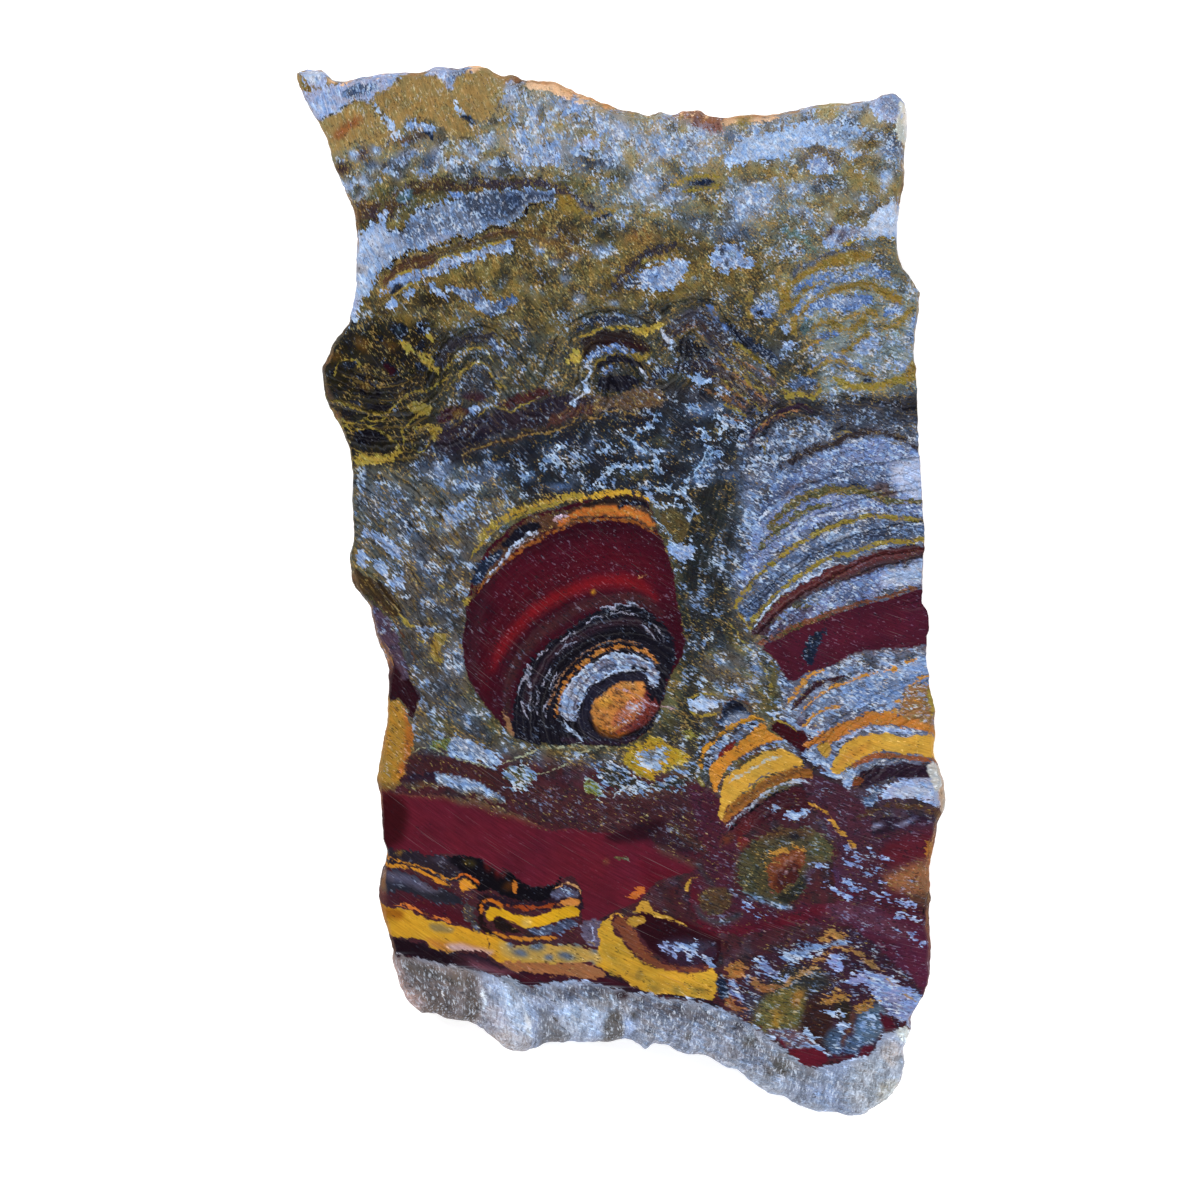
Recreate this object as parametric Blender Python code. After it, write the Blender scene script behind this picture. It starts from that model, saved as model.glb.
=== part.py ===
"""A sawn slab of banded stromatolite, lying on its back face.

One natural piece of stone. Both large faces are flat saw cuts, and the edge
all round is broken rock. +Y runs along the slab's length, from the quartz
rind at the foot to the youngest beds at the top, +Z is the front face's
normal, and the origin is under the middle of the slab, on the surface that
the slab rests on.
"""

import math

import bmesh
import bpy
from mathutils import Vector, kdtree, noise

# Driving dimensions, in metres.
SLAB_LENGTH = 0.1721        # along Y, tip to tip
SLAB_THICKNESS = 0.0080     # between the two saw cuts
EDGE_STEP = 0.00150         # distance between points along the broken edge
EDGE_JAG = 0.00014          # roughness of the outline itself
BACK_INSET = 0.00130        # how far the back face stops short of the outline
FRONT_INSET = 0.00026       # the same for the front face, away from the rims

# The outline was laid out in drawing units, x to the right and y down.
OUTLINE_TOP = 63.0
OUTLINE_FOOT = 1119.0
OUTLINE_MID_X = 621.0
OUTLINE_MID_Y = 0.5 * (OUTLINE_TOP + OUTLINE_FOOT)
UNIT = SLAB_LENGTH / (OUTLINE_FOOT - OUTLINE_TOP)

# The broken edge, clockwise from the tip at the top left.
TOP_EDGE = [
    (294, 74), (299, 68), (323, 67), (331, 78), (345, 80), (365, 74),
    (397, 70), (419, 71), (436, 64), (453, 66), (477, 63), (484, 65),
    (501, 74), (512, 72), (523, 78), (553, 79), (579, 91), (599, 99),
    (620, 107), (650, 113), (661, 110), (672, 113), (685, 108), (700, 108),
    (708, 114), (721, 116), (743, 113), (773, 113), (795, 108), (817, 103),
    (834, 101), (851, 101), (871, 99), (882, 93), (895, 90),
]
RIGHT_EDGE = [
    (904, 98), (908, 106), (909, 126), (906, 158), (906, 180), (901, 206),
    (898, 234), (900, 256), (904, 267), (914, 278), (921, 291), (920, 310),
    (917, 332), (915, 354), (918, 375), (919, 408), (920, 441), (921, 452),
    (923, 484), (925, 517), (926, 538), (925, 560), (923, 604), (930, 612),
    (930, 625), (928, 640), (927, 652), (930, 674), (931, 691), (936, 704),
    (937, 730), (935, 756), (941, 768), (946, 784), (948, 800), (945, 813),
    (939, 822), (936, 843), (931, 867), (932, 893), (931, 919), (932, 952),
    (930, 984), (925, 995), (912, 1019), (912, 1034), (904, 1049),
    (906, 1060), (904, 1080), (893, 1097), (880, 1106), (864, 1117),
]
FOOT_EDGE = [
    (849, 1119), (836, 1114), (821, 1114), (802, 1109), (784, 1098),
    (769, 1096), (752, 1084), (739, 1072), (728, 1070), (706, 1057),
    (682, 1056), (669, 1047), (654, 1045), (645, 1053), (635, 1043),
    (625, 1040), (609, 1044), (570, 1044), (546, 1044), (538, 1049),
    (522, 1054), (509, 1053), (501, 1046), (490, 1038), (480, 1029),
    (467, 1023), (444, 1020), (436, 1015), (421, 1015), (408, 1004),
]
LEFT_EDGE = [
    (398, 987), (392, 964), (391, 944), (385, 925), (377, 899), (379, 880),
    (386, 853), (382, 837), (381, 808), (376, 780), (379, 757), (386, 726),
    (387, 694), (388, 667), (374, 633), (369, 606), (351, 585), (348, 560),
    (353, 534), (351, 506), (352, 473), (349, 450), (341, 430), (328, 408),
    (322, 391), (321, 365), (332, 343), (348, 322), (355, 284), (355, 256),
    (356, 232), (352, 208), (341, 184), (332, 163), (327, 141), (319, 124),
    (304, 100),
]

# Where the broken edge slopes out past the front face and shows as a rim:
# the middle of the stretch, its reach along the edge, and its width.
RIMS = [
    (310, 68, 16, 5), (400, 70, 60, 4), (470, 64, 30, 3), (512, 74, 14, 8),
    (570, 86, 45, 10), (625, 108, 30, 6), (697, 110, 26, 13),
    (760, 113, 45, 5), (835, 101, 30, 4), (905, 130, 28, 9),
    (903, 195, 30, 5), (900, 290, 40, 4), (948, 798, 20, 11),
    (936, 735, 30, 4), (934, 860, 30, 6), (932, 930, 50, 4),
    (911, 1028, 20, 5), (880, 1104, 30, 7), (800, 1106, 50, 7),
    (720, 1062, 50, 6), (600, 1044, 80, 7), (510, 1050, 40, 8),
    (440, 1018, 40, 8), (396, 975, 30, 6), (380, 900, 35, 6),
    (378, 770, 40, 4), (386, 650, 30, 5), (352, 585, 24, 6),
    (326, 400, 34, 7), (336, 340, 20, 6), (352, 215, 40, 3),
]

# Heights of the rings that the broken edge is shaped at, from back to front,
# and how far each may stand back from the outline, as a share of BACK_INSET.
RINGS = [(0.0, 1.0), (0.18, 0.62), (0.40, 0.30), (0.62, 0.0), (0.84, 0.22)]


def place(x, y):
    """A point of the drawing as metres in the slab's own frame."""
    return Vector(((x - OUTLINE_MID_X) * UNIT, (OUTLINE_MID_Y - y) * UNIT, 0.0))


def wave(x, y, z, size):
    """Smooth repeatable unevenness from -1 to 1, with lumps of about size."""
    return noise.noise(Vector((x / size, y / size, z / size)))


def edge_points():
    """The outline at an even step, roughened a little across its own run."""
    corners = [place(x, y) for x, y in TOP_EDGE + RIGHT_EDGE + FOOT_EDGE + LEFT_EDGE]
    lengths = [
        (corners[(i + 1) % len(corners)] - corner).length
        for i, corner in enumerate(corners)
    ]
    count = round(sum(lengths) / EDGE_STEP)
    step = sum(lengths) / count
    points = []
    i, gone = 0, 0.0
    for k in range(count):
        along = k * step
        while gone + lengths[i] < along:
            gone += lengths[i]
            i += 1
        start, end = corners[i], corners[(i + 1) % len(corners)]
        point = start.lerp(end, (along - gone) / lengths[i])
        across = Vector((end.y - start.y, start.x - end.x, 0.0)).normalized()
        points.append(point + across * EDGE_JAG * wave(point.x, point.y, 0.3, 0.0021))
    return points


def inward(points):
    """The direction into the slab at each edge point, from the local run of the edge."""
    reach = 3
    found = []
    for k in range(len(points)):
        run = points[(k + reach) % len(points)] - points[k - reach]
        found.append(Vector((run.y, -run.x, 0.0)).normalized())
    return found


def rim_width(point):
    """How far the front face stands back from the outline at this edge point."""
    width = FRONT_INSET * (1.0 + 0.7 * wave(point.x, point.y, 0.9, 0.004))
    for x, y, reach, rim in RIMS:
        away = (point - place(x, y)).length / (reach * UNIT)
        width += rim * UNIT * math.exp(-away * away) * (
            1.0 + 0.45 * wave(point.x, point.y, 1.7, 0.0035)
        )
    return width


def ring_inset(point, share, height):
    """How far the broken edge stands back at a ring below the front face."""
    if share == 0.0:
        return 0.0
    lumps = 0.5 + 0.9 * wave(point.x, point.y, height * 0.004, 0.009)
    chips = 0.35 * abs(wave(point.x, point.y, 0.05 + height * 0.01, 0.0032))
    return BACK_INSET * share * min(max(lumps + chips, 0.1), 1.25)


def outline_curve(points):
    """The slab's outline as a flat filled curve, as thick as the slab."""
    data = bpy.data.curves.new("slab_outline", "CURVE")
    data.dimensions = "2D"
    data.fill_mode = "BOTH"
    data.extrude = 0.5 * SLAB_THICKNESS
    spline = data.splines.new("POLY")
    spline.points.add(len(points) - 1)
    for point, at in zip(spline.points, points):
        point.co = (at.x, at.y, 0.0, 1.0)
    spline.use_cyclic_u = True
    curve = bpy.data.objects.new("slab_outline", data)
    curve.location = (0.0, 0.0, 0.5 * SLAB_THICKNESS)
    return curve


def broken_edge(mesh, points):
    """Weld the caps, ring the wall, and shape each ring as broken rock."""
    bm = bmesh.new()
    bm.from_mesh(mesh)
    bmesh.ops.remove_doubles(bm, verts=bm.verts, dist=0.00001)
    for way in (1.0, -1.0):
        bm.normal_update()
        cap = [face for face in bm.faces if face.normal.z * way > 0.9]
        bmesh.ops.dissolve_faces(bm, faces=cap, use_verts=False)
    low = -0.5 * SLAB_THICKNESS
    for height, _ in RINGS[1:]:
        bmesh.ops.bisect_plane(
            bm,
            geom=bm.verts[:] + bm.edges[:] + bm.faces[:],
            dist=0.000001,
            plane_co=(0.0, 0.0, low + height * SLAB_THICKNESS),
            plane_no=(0.0, 0.0, 1.0),
        )
    tree = kdtree.KDTree(len(points))
    for k, point in enumerate(points):
        tree.insert(point, k)
    tree.balance()
    ways = inward(points)
    for vert in bm.verts:
        height = (vert.co.z - low) / SLAB_THICKNESS
        _, k, _ = tree.find((vert.co.x, vert.co.y, 0.0))
        if height > 0.99:
            inset = rim_width(points[k])
        else:
            share = min(RINGS, key=lambda ring: abs(ring[0] - height))[1]
            inset = ring_inset(points[k], share, height)
            if height > 0.7:
                inset = max(inset, 0.35 * rim_width(points[k]))
        vert.co += ways[k] * inset
    bmesh.ops.recalc_face_normals(bm, faces=bm.faces)
    bm.to_mesh(mesh)
    bm.free()


def stone_material():
    """Mean look of the stone: olive, ochre and oxblood beds under a sawn face."""
    material = bpy.data.materials.new("banded_stone")
    material.use_nodes = True
    shader = material.node_tree.nodes["Principled BSDF"]
    shader.inputs["Base Color"].default_value = (0.135, 0.100, 0.082, 1.0)
    shader.inputs["Roughness"].default_value = 0.48
    shader.inputs["Metallic"].default_value = 0.0
    material.diffuse_color = (0.135, 0.100, 0.082, 1.0)
    return material


def main():
    for obj in list(bpy.data.objects):
        bpy.data.objects.remove(obj, do_unlink=True)
    parts = bpy.data.collections.new("stromatolite")
    bpy.context.scene.collection.children.link(parts)

    points = edge_points()
    curve = outline_curve(points)
    parts.objects.link(curve)
    bpy.context.view_layer.update()
    graph = bpy.context.evaluated_depsgraph_get()
    mesh = bpy.data.meshes.new_from_object(curve.evaluated_get(graph))
    mesh.name = "slab"
    broken_edge(mesh, points)
    mesh.materials.clear()
    mesh.materials.append(stone_material())

    slab = bpy.data.objects.new("slab", mesh)
    slab.matrix_world = curve.matrix_world.copy()
    parts.objects.link(slab)
    bpy.data.objects.remove(curve, do_unlink=True)


main()
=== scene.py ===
import math

import bpy
import numpy as np
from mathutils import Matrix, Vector
from mathutils.geometry import delaunay_2d_cdt


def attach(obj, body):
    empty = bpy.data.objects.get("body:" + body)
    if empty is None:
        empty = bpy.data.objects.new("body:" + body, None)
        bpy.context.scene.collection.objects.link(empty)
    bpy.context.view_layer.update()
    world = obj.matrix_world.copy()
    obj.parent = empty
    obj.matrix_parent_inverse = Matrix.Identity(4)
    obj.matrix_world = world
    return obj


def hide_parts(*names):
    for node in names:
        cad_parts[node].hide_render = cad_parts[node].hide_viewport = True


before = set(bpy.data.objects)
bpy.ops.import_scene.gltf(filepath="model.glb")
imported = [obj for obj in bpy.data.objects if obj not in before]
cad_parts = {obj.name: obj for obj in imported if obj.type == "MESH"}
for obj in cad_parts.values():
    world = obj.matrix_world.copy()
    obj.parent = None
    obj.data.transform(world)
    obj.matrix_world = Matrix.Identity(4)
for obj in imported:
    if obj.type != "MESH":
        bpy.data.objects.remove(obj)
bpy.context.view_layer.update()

# ---------------------------------------------------------------- sizes
# The slab was laid out in drawing units, x to the right and y down.
MID_X, MID_Y = 621.0, 591.0
UNIT = 0.1721 / 1056.0            # metres per drawing unit
THICK = 0.0080                    # between the two saw cuts
THICK_U = THICK / UNIT
SAW_X, SAW_Y = 1172.0, -179.0     # the middle of the saw marks' arcs

TOP_EDGE = "294,74 299,68 323,67 331,78 345,80 365,74 397,70 419,71 436,64 453,66 477,63 484,65 501,74 512,72 523,78 553,79 579,91 599,99 620,107 650,113 661,110 672,113 685,108 700,108 708,114 721,116 743,113 773,113 795,108 817,103 834,101 851,101 871,99 882,93 895,90"
RIGHT_EDGE = "904,98 908,106 909,126 906,158 906,180 901,206 898,234 900,256 904,267 914,278 921,291 920,310 917,332 915,354 918,375 919,408 920,441 921,452 923,484 925,517 926,538 925,560 923,604 930,612 930,625 928,640 927,652 930,674 931,691 936,704 937,730 935,756 941,768 946,784 948,800 945,813 939,822 936,843 931,867 932,893 931,919 932,952 930,984 925,995 912,1019 912,1034 904,1049 906,1060 904,1080 893,1097 880,1106 864,1117"
FOOT_EDGE = "849,1119 836,1114 821,1114 802,1109 784,1098 769,1096 752,1084 739,1072 728,1070 706,1057 682,1056 669,1047 654,1045 645,1053 635,1043 625,1040 609,1044 570,1044 546,1044 538,1049 522,1054 509,1053 501,1046 490,1038 480,1029 467,1023 444,1020 436,1015 421,1015 408,1004"
LEFT_EDGE = "398,987 392,964 391,944 385,925 377,899 379,880 386,853 382,837 381,808 376,780 379,757 386,726 387,694 388,667 374,633 369,606 351,585 348,560 353,534 351,506 352,473 349,450 341,430 328,408 322,391 321,365 332,343 348,322 355,284 355,256 356,232 352,208 341,184 332,163 327,141 319,124 304,100"

# Where the broken edge slopes out past the front face and shows as a rim:
# the middle of the stretch, its reach along the edge, and its width.
RIMS = [
    (310, 68, 16, 5), (400, 70, 60, 4), (470, 64, 30, 3), (512, 74, 14, 8),
    (570, 86, 45, 10), (625, 108, 30, 6), (697, 110, 26, 13),
    (760, 113, 45, 5), (835, 101, 30, 4), (905, 130, 28, 9),
    (903, 195, 30, 5), (900, 290, 40, 4), (948, 798, 20, 11),
    (936, 735, 30, 4), (934, 860, 30, 6), (932, 930, 50, 4),
    (911, 1028, 20, 5), (880, 1104, 30, 7), (800, 1106, 50, 7),
    (720, 1062, 50, 6), (600, 1044, 80, 7), (510, 1050, 40, 8),
    (440, 1018, 40, 8), (396, 975, 30, 6), (380, 900, 35, 6),
    (378, 770, 40, 4), (386, 650, 30, 5), (352, 585, 24, 6),
    (326, 400, 34, 7), (336, 340, 20, 6), (352, 215, 40, 3),
]

# Chipped facets that fall away from the saw cut: a polygon, then how deep
# its lower side lies, in drawing units, and the point it falls towards.
FACETS = [
    ("300,352 352,336 372,352 366,372 384,392 372,412 350,424 340,436 320,430 300,392", 6.5, (322, 386)),
    ("330,556 356,562 372,580 392,598 402,614 392,618 370,612 352,600 336,584", 4.0, (350, 588)),
    ("366,850 388,856 398,872 396,892 388,912 372,916", 5.0, (377, 890)),
    ("926,762 938,766 941,790 938,812 930,832 962,832 962,762", 6.0, (950, 798)),
    ("893,88 900,100 898,130 899,160 893,170 930,170 930,88", 4.0, (912, 125)),
]

# Open pits in the saw cut: x, y, half length, half width, depth.
PITS = [
    (586, 296, 4.2, 2.8, 3.0), (702, 447, 3.4, 2.4, 3.0), (824, 317, 3.2, 1.8, 2.5),
    (838, 404, 5.0, 1.8, 2.5), (610, 471, 3.8, 2.2, 3.0), (716, 257, 2.8, 2.6, 2.5),
    (718, 132, 2.2, 3.2, 3.0), (832, 222, 4.2, 2.8, 2.5), (840, 236, 2.6, 4.2, 2.5),
    (513, 798, 3.2, 2.4, 2.0), (545, 792, 2.6, 2.2, 2.0), (571, 769, 3.0, 1.8, 2.0),
    (603, 812, 2.8, 2.0, 1.8), (640, 800, 2.4, 1.8, 1.8), (528, 772, 2.4, 1.6, 1.6),
    (622, 994, 4.4, 4.0, 2.6), (859, 487, 4.0, 2.6, 2.4), (796, 494, 2.6, 2.0, 2.0),
    (513, 943, 3.4, 3.0, 1.4), (688, 1037, 3.2, 4.2, 1.8), (748, 1041, 4.2, 3.6, 1.8),
    (552, 787, 2.0, 2.2, 1.6), (631, 771, 3.0, 1.8, 1.6), (478, 770, 2.4, 1.6, 1.4),
    (405, 326, 2.6, 2.0, 1.4), (664, 786, 2.8, 1.8, 1.6), (588, 777, 2.2, 1.6, 1.4),
]

# Stretches with narrow, clean-edged beds get a closer mesh.
CLOSE = [
    "455,618 470,560 505,512 560,494 640,486 690,540 704,640 690,700 660,752 560,756 500,744 462,690",
    "728,610 752,560 800,520 860,508 936,508 944,760 940,800 900,800 860,790 820,790 806,840 700,840 690,760 680,690 700,688 740,690 780,720",
    "366,690 420,690 420,760 520,770 620,800 700,870 720,1000 640,1000 500,975 380,965 360,890",
    "430,340 500,325 760,300 780,400 640,420 430,430",
]
STEP_CLOSE, STEP_WIDE, STEP_EDGE, STEP_BACK = 2.42, 3.20, 2.95, 9.0


def read(text):
    """Points from a string of x,y pairs."""
    if not isinstance(text, str):
        return np.array(text, float)
    return np.array([[float(v) for v in pair.split(",")] for pair in text.split()])


# ---------------------------------------------------------------- noise
def hashed(ix, iy, iz, seed):
    """A repeatable number from 0 to 1 for each lattice point."""
    mask = np.int64(0xFFFFFFFF)
    h = (ix * 374761393 + iy * 668265263 + iz * 1440662683 + seed * 974711) & mask
    h = ((h ^ (h >> 15)) * 739982445) & mask
    h = ((h ^ (h >> 12)) * 695872825) & mask
    h = h ^ (h >> 15)
    return h / 4294967295.0


def noise3(p, seed=0):
    """Smooth noise from -1 to 1 at points (n, 3), with lumps of about one unit."""
    base = np.floor(p).astype(np.int64)
    f = p - base
    f = f * f * f * (f * (f * 6 - 15) + 10)
    total = 0.0
    for dx in (0, 1):
        wx = f[:, 0] if dx else 1 - f[:, 0]
        for dy in (0, 1):
            wy = f[:, 1] if dy else 1 - f[:, 1]
            for dz in (0, 1):
                wz = f[:, 2] if dz else 1 - f[:, 2]
                total = total + wx * wy * wz * hashed(
                    base[:, 0] + dx, base[:, 1] + dy, base[:, 2] + dz, seed
                )
    return 2.0 * total - 1.0


def rough3(p, octaves=4, seed=0, gain=0.5):
    """Several sizes of noise added up."""
    total, size, weight, sum_of = 0.0, 1.0, 1.0, 0.0
    for k in range(octaves):
        total = total + weight * noise3(p * size + 17.3 * k, seed + k)
        sum_of += weight
        size *= 2.03
        weight *= gain
    return total / sum_of


def at2(x, y, z=0.0):
    x, y = np.asarray(x, float), np.asarray(y, float)
    return np.stack([x, y, np.broadcast_to(np.asarray(z, float), x.shape)], axis=1)


def ease(low, high, value):
    t = np.clip((value - low) / (high - low), 0.0, 1.0)
    return t * t * (3 - 2 * t)


# ---------------------------------------------------------------- plane curves
def smooth_curve(points, closed, step=3.0):
    """A rounded curve through the points, at about an even step."""
    n = len(points)
    if n < 3:
        return points
    out = []
    spans = n if closed else n - 1
    for i in range(spans):
        p1, p2 = points[i], points[(i + 1) % n]
        p0 = points[i - 1] if (closed or i > 0) else 2 * p1 - p2
        p3 = points[(i + 2) % n] if (closed or i + 2 < n) else 2 * p2 - p1
        pieces = max(1, int(round(np.hypot(*(p2 - p1)) / step)))
        for k in range(pieces):
            t = k / pieces
            out.append(
                0.5 * (2 * p1 + (p2 - p0) * t + (2 * p0 - 5 * p1 + 4 * p2 - p3) * t * t
                       + (3 * p1 - p0 - 3 * p2 + p3) * t ** 3)
            )
    if not closed:
        out.append(points[-1])
    return np.array(out)


def near_curve(p, curve, closed):
    """For points p: distance to the curve, signed side, share along it, overshoot at its ends."""
    a = curve if closed else curve[:-1]
    b = np.roll(curve, -1, axis=0) if closed else curve[1:]
    run = b - a
    length = np.hypot(run[:, 0], run[:, 1]) + 1e-9
    start = np.concatenate([[0.0], np.cumsum(length)])
    best = np.full(len(p), 1e9)
    side = np.ones(len(p))
    share = np.zeros(len(p))
    over = np.zeros(len(p))
    last = len(a) - 1
    for k in range(len(a)):
        dx, dy = p[:, 0] - a[k, 0], p[:, 1] - a[k, 1]
        raw = (dx * run[k, 0] + dy * run[k, 1]) / length[k] ** 2
        t = np.clip(raw, 0.0, 1.0)
        ex, ey = dx - t * run[k, 0], dy - t * run[k, 1]
        d = np.hypot(ex, ey)
        hit = d < best
        if not hit.any():
            continue
        best = np.where(hit, d, best)
        cross = run[k, 0] * dy - run[k, 1] * dx
        side = np.where(hit, np.where(cross >= 0, 1.0, -1.0), side)
        share = np.where(hit, (start[k] + t * length[k]) / start[-1], share)
        past = np.zeros(len(p))
        if not closed and k == 0:
            past = np.maximum(-raw, 0.0) * length[k]
        if not closed and k == last:
            past = np.maximum(past, (raw - 1.0) * length[k])
        over = np.where(hit, past, over)
    return best, side, share, over


def inside(p, curve):
    hit = np.zeros(len(p), bool)
    a, b = curve, np.roll(curve, -1, axis=0)
    for (x0, y0), (x1, y1) in zip(a, b):
        if y0 == y1:
            continue
        cond = (p[:, 1] < y0) != (p[:, 1] < y1)
        cross = x0 + (p[:, 1] - y0) * (x1 - x0) / (y1 - y0)
        hit ^= cond & (p[:, 0] < cross)
    return hit


# ---------------------------------------------------------------- outline rings
def edge_ring():
    corners = np.vstack([read(t) for t in (TOP_EDGE, RIGHT_EDGE, FOOT_EDGE, LEFT_EDGE)])
    nxt = np.roll(corners, -1, axis=0)
    length = np.hypot(*(nxt - corners).T)
    start = np.concatenate([[0.0], np.cumsum(length)])
    count = int(round(start[-1] / STEP_EDGE))
    along = np.arange(count) * start[-1] / count
    k = np.clip(np.searchsorted(start, along, side="right") - 1, 0, len(corners) - 1)
    t = (along - start[k]) / length[k]
    ring = corners[k] + (nxt[k] - corners[k]) * t[:, None]
    # Rounds the drawing's corners a little, then roughens the broken edge.
    soft = 0.25 * np.roll(ring, 1, 0) + 0.5 * ring + 0.25 * np.roll(ring, -1, 0)
    way = inward_ways(soft, 3)
    rough = 0.9 * noise3(at2(soft[:, 0] / 7.5, soft[:, 1] / 7.5, 0.3), 3)
    rough = rough + 0.55 * noise3(at2(soft[:, 0] / 3.4, soft[:, 1] / 3.4, 0.3), 4)
    return soft + way * (0.5 + rough)[:, None]


def inward_ways(ring, reach):
    run = np.zeros_like(ring)
    for k in range(1, reach + 1):
        run += np.roll(ring, -k, 0) - np.roll(ring, k, 0)
    way = np.stack([-run[:, 1], run[:, 0]], axis=1)
    return way / np.maximum(np.hypot(way[:, 0], way[:, 1]), 1e-9)[:, None]


def rim_width(ring):
    x, y = ring[:, 0], ring[:, 1]
    width = 1.6 * (1.0 + 0.7 * noise3(at2(x / 24, y / 24, 0.9), 5))
    for rx, ry, reach, rim in RIMS:
        away = np.hypot(x - rx, y - ry) / reach
        width = width + rim * np.exp(-away * away) * (
            1.0 + 0.5 * noise3(at2(x / 15, y / 15, 1.7), 6)
            + 0.35 * noise3(at2(x / 6, y / 6, 2.7), 7)
        )
    return np.maximum(width, 0.5)


ring = edge_ring()
ring_way = inward_ways(ring, 9)
ring_way = ring_way + 0.6 * np.roll(ring_way, 6, 0) + 0.6 * np.roll(ring_way, -6, 0)
ring_way = ring_way / np.hypot(ring_way[:, 0], ring_way[:, 1])[:, None]
ring_rim = rim_width(ring)
count_ring = len(ring)


def no_folds(base, candidate):
    """Pulls a ring back towards its base wherever its run turns round."""
    for _ in range(12):
        run = np.roll(candidate, -1, 0) - candidate
        ref = np.roll(base, -1, 0) - base
        bad = (run * ref).sum(1) < 0.15 * (ref * ref).sum(1)
        if not bad.any():
            break
        bad = bad | np.roll(bad, 1) | np.roll(bad, -1)
        candidate = np.where(bad[:, None], 0.5 * (base + candidate), candidate)
        candidate = np.where(
            bad[:, None],
            0.25 * np.roll(candidate, 1, 0) + 0.5 * candidate + 0.25 * np.roll(candidate, -1, 0),
            candidate,
        )
    return candidate


front_ring = no_folds(ring, ring + ring_way * ring_rim[:, None])


# ---------------------------------------------------------------- front sheet
def lattice(low, high, step):
    pts, row, y = [], 0, low[1]
    rise = step * math.sqrt(3) / 2
    while y < high[1]:
        xs = np.arange(low[0] + (0.5 * step if row % 2 else 0.0), high[0], step)
        pts.append(np.stack([xs, np.full(len(xs), y)], axis=1))
        y += rise
        row += 1
    return np.vstack(pts)


def sheet_points(border, close_step, wide_step, clear):
    low, high = border.min(0), border.max(0)
    near = np.zeros(0)
    wide = lattice(low, high, wide_step)
    if close_step:
        close = lattice(low, high, close_step)
        in_close, in_wide = np.zeros(len(close), bool), np.zeros(len(wide), bool)
        for text in CLOSE:
            poly = read(text)
            in_close |= inside(close, poly)
            in_wide |= inside(wide, poly)
        pts = np.vstack([close[in_close], wide[~in_wide]])
    else:
        pts = wide
    pts = pts[inside(pts, border)]
    pts = pts + 0.10 * wide_step * (
        np.stack([hashed(np.arange(len(pts)), pts[:, 0].astype(np.int64), 7 + 0 * pts[:, 0].astype(np.int64), 3),
                  hashed(np.arange(len(pts)), pts[:, 1].astype(np.int64), 9 + 0 * pts[:, 0].astype(np.int64), 5)], axis=1) - 0.5
    )
    # Keeps clear of the border, tested through a coarse grid of border points.
    cell = {}
    for x, y in border:
        cell.setdefault((int(x // 8), int(y // 8)), []).append((x, y))
    keep = np.ones(len(pts), bool)
    gx, gy = (pts[:, 0] // 8).astype(int), (pts[:, 1] // 8).astype(int)
    for (cx, cy), members in cell.items():
        members = np.array(members)
        sel = np.where((abs(gx - cx) <= 1) & (abs(gy - cy) <= 1) & keep)[0]
        if len(sel) == 0:
            continue
        d = np.hypot(pts[sel, 0][:, None] - members[:, 0], pts[sel, 1][:, None] - members[:, 1]).min(1)
        keep[sel[d < clear]] = False
    return pts[keep]


def triangulate(border, pts):
    """Triangles inside the border; border points keep their numbers."""
    n = len(border)
    verts = [Vector(v) for v in np.vstack([border, pts]).tolist()]
    edges = [(i, (i + 1) % n) for i in range(n)]
    out = delaunay_2d_cdt(verts, edges, [], 1, 1e-7)
    if len(out[0]) != len(verts):
        raise RuntimeError("the sheet's points met: %d %d" % (len(out[0]), len(verts)))
    order = [orig[0] for orig in out[3]]
    return np.array([[order[v] for v in face] for face in out[2]], int)


front_inner = sheet_points(front_ring, STEP_CLOSE, STEP_WIDE, 1.9)
front_faces = triangulate(front_ring, front_inner)
front_xy = np.vstack([front_ring, front_inner])

# Depth below the saw cut, in drawing units, at the front sheet's points.
def front_depth(p):
    depth = np.zeros(len(p))
    for text, deep, to in FACETS:
        poly = smooth_curve(read(text), True, 4.0)
        low, high = poly.min(0) - 2, poly.max(0) + 2
        sel = np.where((p[:, 0] > low[0]) & (p[:, 0] < high[0]) & (p[:, 1] > low[1]) & (p[:, 1] < high[1]))[0]
        if len(sel) == 0:
            continue
        q = p[sel]
        hit = inside(q, poly)
        d, _, _, _ = near_curve(q, poly, True)
        away = np.hypot(q[:, 0] - to[0], q[:, 1] - to[1])
        fall = deep * ease(0.0, 22.0, np.where(hit, d, 0.0)) * (0.55 + 0.45 * ease(45.0, 5.0, away))
        fall = fall * (1.0 + 0.25 * noise3(at2(q[:, 0] / 14, q[:, 1] / 14, 4.0), 11))
        depth[sel] = np.maximum(depth[sel], fall)
    for x, y, rx, ry, deep in PITS:
        r = np.hypot((p[:, 0] - x) / rx, (p[:, 1] - y) / ry)
        depth = depth + deep * np.exp(-(r ** 3))
    return depth


front_low = front_depth(front_xy)
quartz_line = read("380,950 393,954 407,957 425,959 442,964 460,968 480,971 501,976 516,984 532,985 550,982 567,980 591,982 612,987 630,992 660,996 693,1001 716,1005 740,1018 758,1029 771,1038 787,1051 802,1066 821,1068 840,1062 856,1060 872,1054 884,1034 896,1030 912,1024 940,1015")
in_foot = ease(0.0, 10.0, front_xy[:, 1] - np.interp(front_xy[:, 0], quartz_line[:, 0], quartz_line[:, 1]))
lumps = rough3(at2(front_xy[:, 0] / 16.0, front_xy[:, 1] / 34.0, 2.0), 4, 21)
front_low = front_low + in_foot * (0.35 + 0.9 * np.maximum(lumps, -0.2))

# ---------------------------------------------------------------- broken edge
LEVELS = [0.955, 0.88, 0.78, 0.68, 0.60, 0.48, 0.36, 0.24, 0.12, 0.04, 0.0]


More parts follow.
